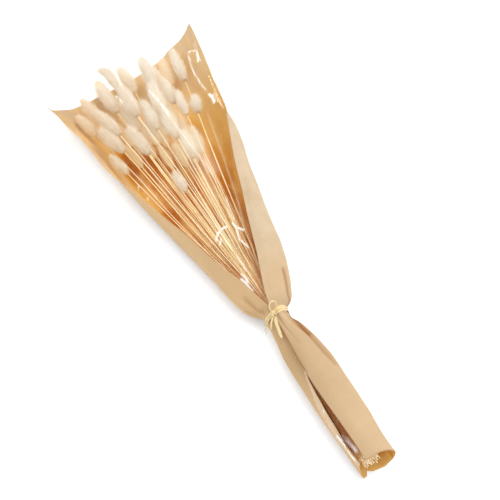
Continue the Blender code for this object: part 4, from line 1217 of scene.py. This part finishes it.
def grow_straw(grow, given, guide, girth):
    """A ring swept along the guide's lines, thicker at the joints."""
    line = grow.node("GeometryNodeMeshToCurve", {}, {"Mesh": guide})
    line = grow.node("GeometryNodeResampleCurve", {"mode": "LENGTH"},
                     {"Curve": line, "Length": STRAW_STEP})
    along = grow.node("GeometryNodeSplineParameter")
    line = grow.write(line, "rise", along.out("Factor"))
    place = along.out("Length") / given.out("Joint gap") + given.out("Stem shade")
    joint = place.math("FRACT", place) - 0.5
    swell = (1.0 - joint.math("ABSOLUTE", joint) * 26.0).least(0.0) * 0.22
    thick = given.out("Straw radius") * girth * (1.12 - along.out("Factor") * 0.38 + swell)
    ring = grow.node("GeometryNodeCurvePrimitiveCircle", {}, {"Resolution": 6, "Radius": 1.0})
    straw = grow.node("GeometryNodeCurveToMesh", {}, {"Curve": line, "Profile Curve": ring,
                                                     "Scale": thick, "Fill Caps": True})
    straw = grow.write(straw, "shade", given.out("Stem shade"))
    return grow.painted(straw, straw_finish)


def grow_down(grow, given, core, girth):
    """The core with hairs on it, which lean towards the tip."""
    seed, up, lean = given.out("Seed"), grow.read("up"), grow.read("lay", "FLOAT_VECTOR")
    spots = grow.node("GeometryNodeDistributePointsOnFaces", {"distribute_method": "RANDOM"},
                      {"Mesh": core, "Seed": seed,
                       "Density": given.out("Hairs per square mm") * 1e6})
    # Which way each hair stands, and which way it bows
    sway = grow.node("FunctionNodeRandomValue", {"data_type": "FLOAT_VECTOR"},
                     {0: (-1.0, -1.0, -1.0), 1: (1.0, 1.0, 1.0), "Seed": seed})
    sway = grow.scaled(sway, given.out("Disorder"))
    ahead = grow.scaled(lean, given.out("Lean") * (1.15 - up * 0.6))
    way = grow.added(grow.added(spots.out("Normal"), ahead), sway)
    stand = grow.aligned({"axis": "Z"}, {"Vector": way})
    stand = grow.aligned({"axis": "Y", "pivot_axis": "Z"},
                         {"Rotation": stand, "Vector": grow.added(lean, sway)})
    # How long and how pale it is, in tufts
    tuft = grow.node("ShaderNodeTexNoise", {}, {"Vector": grow.node("GeometryNodeInputPosition"),
                                               "Scale": 330.0, "Detail": 1.0})
    length = (grow.chance(0.0, 1.0, seed + 5.0) ** 2.4 + 0.56) * (0.55 + tuft * 0.9)
    fuller = (up * 4.0 + 0.42).most(1.0) * (1.2 - up * 0.45)
    tall = given.out("Hair length") * length * fuller * girth
    size = grow.node("ShaderNodeCombineXYZ", {}, {0: given.out("Hair width"), 1: tall, 2: tall})
    tone = grow.chance(-0.3, 0.4, seed + 9.0) + (tuft - 0.5) * 3.2 + 0.45
    blade = grow.node("GeometryNodeObjectInfo", {}, {"Object": given.out("Hair")},
                      output="Geometry")
    hairs = grow.node("GeometryNodeInstanceOnPoints", {},
                      {"Points": grow.write(spots, "shade", tone), "Instance": blade,
                       "Rotation": stand, "Scale": size})
    woolly = grow.node("GeometryNodeRealizeInstances", {}, {"Geometry": grow.joined(core, hairs)})
    return grow.painted(woolly, down_finish)


def build_grass_tree():
    tree = bpy.data.node_groups.new("bunny tail", "GeometryNodeTree")
    for name, kind in {"Geometry": "Geometry", **TREE_INPUTS}.items():
        tree.interface.new_socket(name=name, in_out="INPUT", socket_type="NodeSocket" + kind)
    tree.interface.new_socket(name="Geometry", in_out="OUTPUT",
                              socket_type="NodeSocketGeometry")
    grow = Grower(tree)
    given = grow.node("NodeGroupInput")
    parts = grow.node("GeometryNodeSeparateGeometry", {"domain": "POINT"},
                      {"Geometry": given.out("Geometry"),
                       "Selection": grow.read("core").above(0.5)})
    girth = grow.read("girth")
    grass = grow.joined(grow_straw(grow, given, parts.out("Inverted"), girth),
                        grow_down(grow, given, parts.out("Selection"), girth))
    grass = grow.node("GeometryNodeSetShadeSmooth", {}, {"Geometry": grass})
    grow.node("NodeGroupOutput", {}, {"Geometry": grass})
    print("grass tree:", len(tree.nodes), "nodes")
    return tree


def grow_piece(guide, tree, name, settings):
    """Apply a tree to a guide and keep the result as a plain mesh."""
    modifier = guide.modifiers.new("grow", "NODES")
    modifier.node_group = tree
    for item in tree.interface.items_tree:
        if item.in_out == "INPUT" and item.name in settings:
            modifier[item.identifier] = settings[item.name]
    bpy.context.view_layer.update()
    grown = guide.evaluated_get(bpy.context.evaluated_depsgraph_get())
    mesh = bpy.data.meshes.new_from_object(grown)
    mesh.name = name
    bpy.data.objects.remove(guide, do_unlink=True)
    return add_object(name, mesh)


grass_tree = build_grass_tree()

# %% [markdown]
# ## Grow the bunch
#
# Every grass gets its own seed, tone and hair length. The heads that lie deep under the others
# are hardly seen, so they get fewer hairs.

# %% Grow every grass
FIRST_HIDDEN = 31
HAIR_DENSITY, HIDDEN_SHARE = 6.0, 1 / 3
USUAL_RADIUS = 7.5
HAIR_WIDTH = 0.2 * MM
BUNCH_SEED, FIRST_SEED = 23, 100

draw = random.Random(BUNCH_SEED)
hair_total = 0
for number, name in enumerate(grass_names, start=1):
    guide, head_radius = make_guide(name, draw)
    density = HAIR_DENSITY * (1 if number < FIRST_HIDDEN else HIDDEN_SHARE)
    piece = grow_piece(guide, grass_tree, name + "_bunny_tail", {
        "Hair": hair_blade, "Hairs per square mm": density * USUAL_RADIUS / head_radius,
        "Hair length": head_radius * draw.uniform(0.92, 1.04) * MM, "Hair width": HAIR_WIDTH,
        "Lean": draw.uniform(0.9, 1.15), "Disorder": draw.uniform(0.34, 0.46),
        "Straw radius": draw.uniform(0.45, 0.65) * MM,
        "Joint gap": draw.uniform(120.0, 170.0) * MM,
        "Stem shade": draw.random(), "Seed": FIRST_SEED + number})
    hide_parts(name)
    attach(piece, "root")
    hair_total += count_triangles(piece)
print("bunny tails:", len(grass_names), "with", hair_total, "triangles")

# %% [markdown]
# ## The raffia tie
#
# Raffia is a strip of dried palm leaf, a few millimetres wide. It folds along its length, its
# edges curl, and its ends are narrower. Three turns go round the waist, and a knot holds a
# bow with one loop and four loose tails. Each strip is swept along its path with a ribbed
# section.

# %% The paths of the raffia
NECK = np.array((8.0, TIE_ALONG, 20.0))
BAND_RADIUS = 13.7
KNOT_PLACE = np.array((1.6, 199.6, 35.4))
BOW_LOOP = ((1.6, 199.6, 35.6), (0.4, 204.8, 38.2), (1.8, 209.4, 40.8), (5.4, 211.4, 42.0),
            (8.8, 209.8, 41.6), (8.8, 206.4, 40.2), (5.8, 203.0, 38.2), (2.6, 199.4, 36.2))
LOOSE_ENDS = (
    (((1.4, 199.2, 35.4), (-1.5, 196.5, 34.8), (-5.6, 191.5, 32.9), (-8.7, 186.5, 29.6)), 2.1),
    (((2.0, 198.8, 35.6), (-0.4, 190.0, 35.0), (-2.0, 182.0, 33.6), (-3.8, 171.0, 32.4)), 4.4),
    (((0.4, 199.6, 35.0), (-7.0, 197.5, 30.5), (-11.5, 193.5, 24.5), (-12.0, 189.5, 19.0)), 1.2),
    (((-0.4, 200.4, 34.8), (-8.0, 199.0, 28.2), (-10.2, 195.5, 20.0)), 1.0),
)
LOOP_OUT, LOOSE_OUT = (-0.35, -0.3, 0.88), (-0.6, -0.1, 0.8)
# The turns: shift along, slant, lift, width and seed. The knot's: tilt, radius and seed.
TURNS = ((-3.2, 0.6, 0.0, 3.8, 1), (0.4, 2.0, 0.25, 3.6, 2), (-1.4, 1.4, 0.6, 2.4, 3))
KNOT_WRAPS = ((0.5, 2.9, 11), (1.3, 3.1, 12), (-0.5, 2.7, 13))
KNOT_OUT = np.array((-0.35, -0.1, 0.93))
WOBBLE = 0.3
TURN_STEPS, KNOT_STEPS = 72, 24


def circle(steps, across, upward):
    """Directions round a circle, the first one again at the end."""
    angles = 2 * math.pi * np.arange(steps + 1)[:, None] / steps
    return angles, np.cos(angles) * across + np.sin(angles) * upward


def unit(vector):
    return vector / np.linalg.norm(vector)


def neck_turn(shift, slant, lift, seed):
    """A turn round the waist that wanders a little, and the way out at each point."""
    phase = random.Random(seed).uniform(0, 6.28)
    angles, out = circle(TURN_STEPS, np.array((1.0, 0.0, 0.0)), np.array((0.0, 0.0, 1.0)))
    sway = WOBBLE * np.sin(2 * angles + phase) + 0.4 * WOBBLE * np.sin(5 * angles)
    along = (shift + slant * np.cos(angles) + sway) * (0.0, 1.0, 0.0)
    return NECK + out * (BAND_RADIUS + lift) + along, out


def knot_wrap(tilt, radius):
    """A short turn of raffia over the knot."""
    across = unit(np.array((math.cos(tilt), math.sin(tilt), 0.25)))
    _, out = circle(KNOT_STEPS, across, unit(KNOT_OUT - across * np.dot(across, KNOT_OUT)))
    uneven = np.where(np.arange(KNOT_STEPS + 1) % 3, 1.15, 1.22)[:, None]
    return KNOT_PLACE + out * radius * uneven, out


print("raffia:", len(TURNS), "turns, 1 loop and", len(LOOSE_ENDS), "loose ends")


# %% Sweep a strip of raffia
STRIP_ACROSS = 9
THIN, THICK, NARROW = 0.28, 0.3, 2.0
TURN_CURL, LOOP_CURL, KNOT_CURL, LOOSE_CURL = -0.5, 0.45, 0.3, 0.35
LOOP_SEED = 4


def strip(path, outward, width, thickness, curl, seed, tapered=False):
    """Points, faces, uv and tone of one ribbed strip, both faces and its ends closed."""
    draw = random.Random(seed)
    count = len(path)
    travel = np.gradient(path, axis=0)
    travel /= np.linalg.norm(travel, axis=1)[:, None]
    outward = outward - travel * np.sum(outward * travel, axis=1)[:, None]
    outward /= np.linalg.norm(outward, axis=1)[:, None]
    side = np.cross(travel, outward)
    ribs = np.array([draw.uniform(-0.16, 0.16) for _ in range(STRIP_ACROSS)])
    u, walked = np.linspace(-1.0, 1.0, STRIP_ACROSS), walk(path)
    points, uv = [], []
    for face in (0, 1):
        edge = np.where(np.abs(u) > 0.99, 0.5 * thickness * (1 if face else -1), 0.0)
        for row, far in enumerate(walked):
            taper = min(1.0, 0.45 + (1 - row / (count - 1)) * 2.4) if tapered else 1.0
            wide = u * width / 2 * taper * (1 + 0.12 * math.sin(far / 3.1 + seed))
            lift = ribs + curl * (u ** 2 - 0.35) + 0.15 * np.sin(far / 2.3 + u * 2) + edge
            lift = lift + (0.0 if face else thickness)
            points.append(path[row] + side[row] * wide[:, None] + outward[row] * lift[:, None])
            uv.append(np.stack([wide + seed * 7.3, np.full(len(u), far)], axis=1))
    points, uv = np.concatenate(points), np.concatenate(uv) * MM
    faces = np.array(two_sided_faces(count, STRIP_ACROSS))
    return points, faces, uv, np.full(len(points), draw.random())


print("points across a strip:", STRIP_ACROSS)

# %% [markdown]
# ## The raffia finish and the finished tie
#
# Raffia is pale yellow and silky along the grain. Fine lengthwise fibres alternate between
# cream and straw, and the strip is slightly glossy, so it catches light at its ribs.

# %% Paint the raffia
def make_raffia_finish():
    raffia = Finish("raffia")
    fibre = raffia.speckle(raffia.sheet(), (5200.0, 130.0, 1.0), 3.0, 0.65)
    band = raffia.speckle(raffia.sheet(), (1100.0, 40.0, 1.0))
    shade = raffia.stored("shade")
    base = raffia.blend(shade, (0.68, 0.45, 0.17), (0.80, 0.60, 0.28))
    colour = raffia.blend(raffia.spread(band, 0.42, 0.62) * 0.6, base, (0.88, 0.75, 0.46))
    colour = raffia.blend(raffia.spread(fibre, 0.50, 0.66) * 0.5, colour, (0.46, 0.26, 0.08))
    return raffia.finish(raffia.surface({
        "Base Color": colour, "Roughness": 0.38 + fibre * 0.3,
        "Normal": raffia.bumped(fibre * 0.6 + band * 0.4, 0.0003), "Sheen Weight": 0.15}))


def build_raffia():
    strips = [strip(*neck_turn(shift, slant, lift, seed), wide, THIN, TURN_CURL, seed)
              for shift, slant, lift, wide, seed in TURNS]
    loop = spline_through(BOW_LOOP, 8)
    strips.append(strip(loop, np.tile(LOOP_OUT, (len(loop), 1)), NARROW, THICK,
                        LOOP_CURL, LOOP_SEED))
    for number, (path, width) in enumerate(LOOSE_ENDS):
        path = spline_through(path, 12)
        strips.append(strip(path, np.tile(LOOSE_OUT, (len(path), 1)), width, THIN,
                            LOOSE_CURL if number % 2 else -LOOSE_CURL,
                            LOOP_SEED + 1 + number, tapered=True))
    strips += [strip(*knot_wrap(tilt, radius), NARROW, THICK, KNOT_CURL, seed)
               for tilt, radius, seed in KNOT_WRAPS]
    points, faces, uv, shade = zip(*strips)
    starts = np.cumsum([0] + [len(some) for some in points])
    faces = np.concatenate([some + start for some, start in zip(faces, starts)])
    return make_piece("raffia_bow", np.concatenate(points), faces,
                      {"shade": np.concatenate(shade)}, np.concatenate(uv),
                      [make_raffia_finish()])


raffia_bow = build_raffia()
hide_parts("raffia_tie")
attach(raffia_bow, "root")
print("raffia bow:", count_triangles(raffia_bow), "triangles")

# %% [markdown]
# ## Table and light
#
# The photograph is a bright product picture on white: one soft lamp from behind and to the
# right, a bright room that fills the shadows, and a white table that runs out of view. The
# table glows a little where nothing stands over it, so that it comes out white and keeps its
# soft shadows. The soft lamp isn't seen in gloss, and a small spark lamp is seen only there:
# it lights the ridges of the film. The view transform is Standard, so that white stays white.

# %% Set the table and the lamps
TABLE_REACH = 8


def make_table():
    table = Finish("white table")
    grain = table.speckle(table.place(), 3.0)
    tone = table.blend(grain, (0.87, 0.91, 0.955), (0.885, 0.92, 0.96))
    # The table's glow is less where the bunch stands near: a painted shadow along its edges.
    open_sky = table.node("ShaderNodeAmbientOcclusion", {"samples": 8}, {"Distance": 0.02},
                          output="AO")
    glow = table.blend(table.spread(open_sky, 0.35, 0.8), (0.08, 0.095, 0.115),
                       (0.35, 0.36, 0.375))
    material = table.finish(table.surface({"Base Color": tone, "Roughness": 0.9,
                                           "Specular IOR Level": 0.1, "Emission Color": glow,
                                           "Emission Strength": 1.0}))
    mesh = bpy.data.meshes.new("white table")
    corners = [(x * TABLE_REACH, y * TABLE_REACH, 0)
               for x, y in ((-1, -1), (1, -1), (1, 1), (-1, 1))]
    mesh.from_pydata(corners, [], [(0, 1, 2, 3)])
    mesh.materials.append(material)
    top = add_object("white_table", mesh)
    top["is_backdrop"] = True


def add_lamp(name, direction, distance, size, power, colour):
    lamp = bpy.data.lights.new(name, "AREA")
    lamp.shape, lamp.size, lamp.energy, lamp.color = "DISK", size, power, colour
    holder = add_object(name, lamp)
    way = Vector(direction).normalized()
    holder.location = CAMERA_TARGET + way * distance
    holder.rotation_euler = way.to_track_quat("Z", "Y").to_euler()
    return holder


make_table()
soft_lamp = add_lamp("soft lamp", (0.34, 0.30, 0.89), 2.4, 1.1, 24.0, (1.0, 0.97, 0.93))
soft_lamp.visible_glossy = False
spark_lamp = add_lamp("spark lamp", (0.55, 0.51, 0.66), 2.2, 0.4, 40.0, (1.0, 0.99, 0.97))
spark_lamp.visible_diffuse = False
room = bpy.data.worlds.new("bright room")
room.use_nodes = True
room_light = room.node_tree.nodes["Background"]
room_light.inputs["Color"].default_value = (0.93, 0.965, 1.0, 1.0)
room_light.inputs["Strength"].default_value = 1.12
bpy.context.scene.world = room
bpy.context.scene.view_settings.view_transform = "Standard"
print("lamps:", len(bpy.data.lights))

# %% [markdown]
# ## The sizes side by side
#
# The last cell notes the frame's box and the finished bunch's box side by side, so that they
# can be compared.

# %% Show the sizes
def plain(value):
    """Vectors and boxes as plain lists of numbers."""
    if isinstance(value, dict):
        return {name: plain(part) for name, part in value.items()}
    if hasattr(value, "__len__") and not isinstance(value, str):
        return [plain(part) for part in value]
    return float(value)


{"cad": plain(cad_bounds), "visual": plain(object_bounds())}
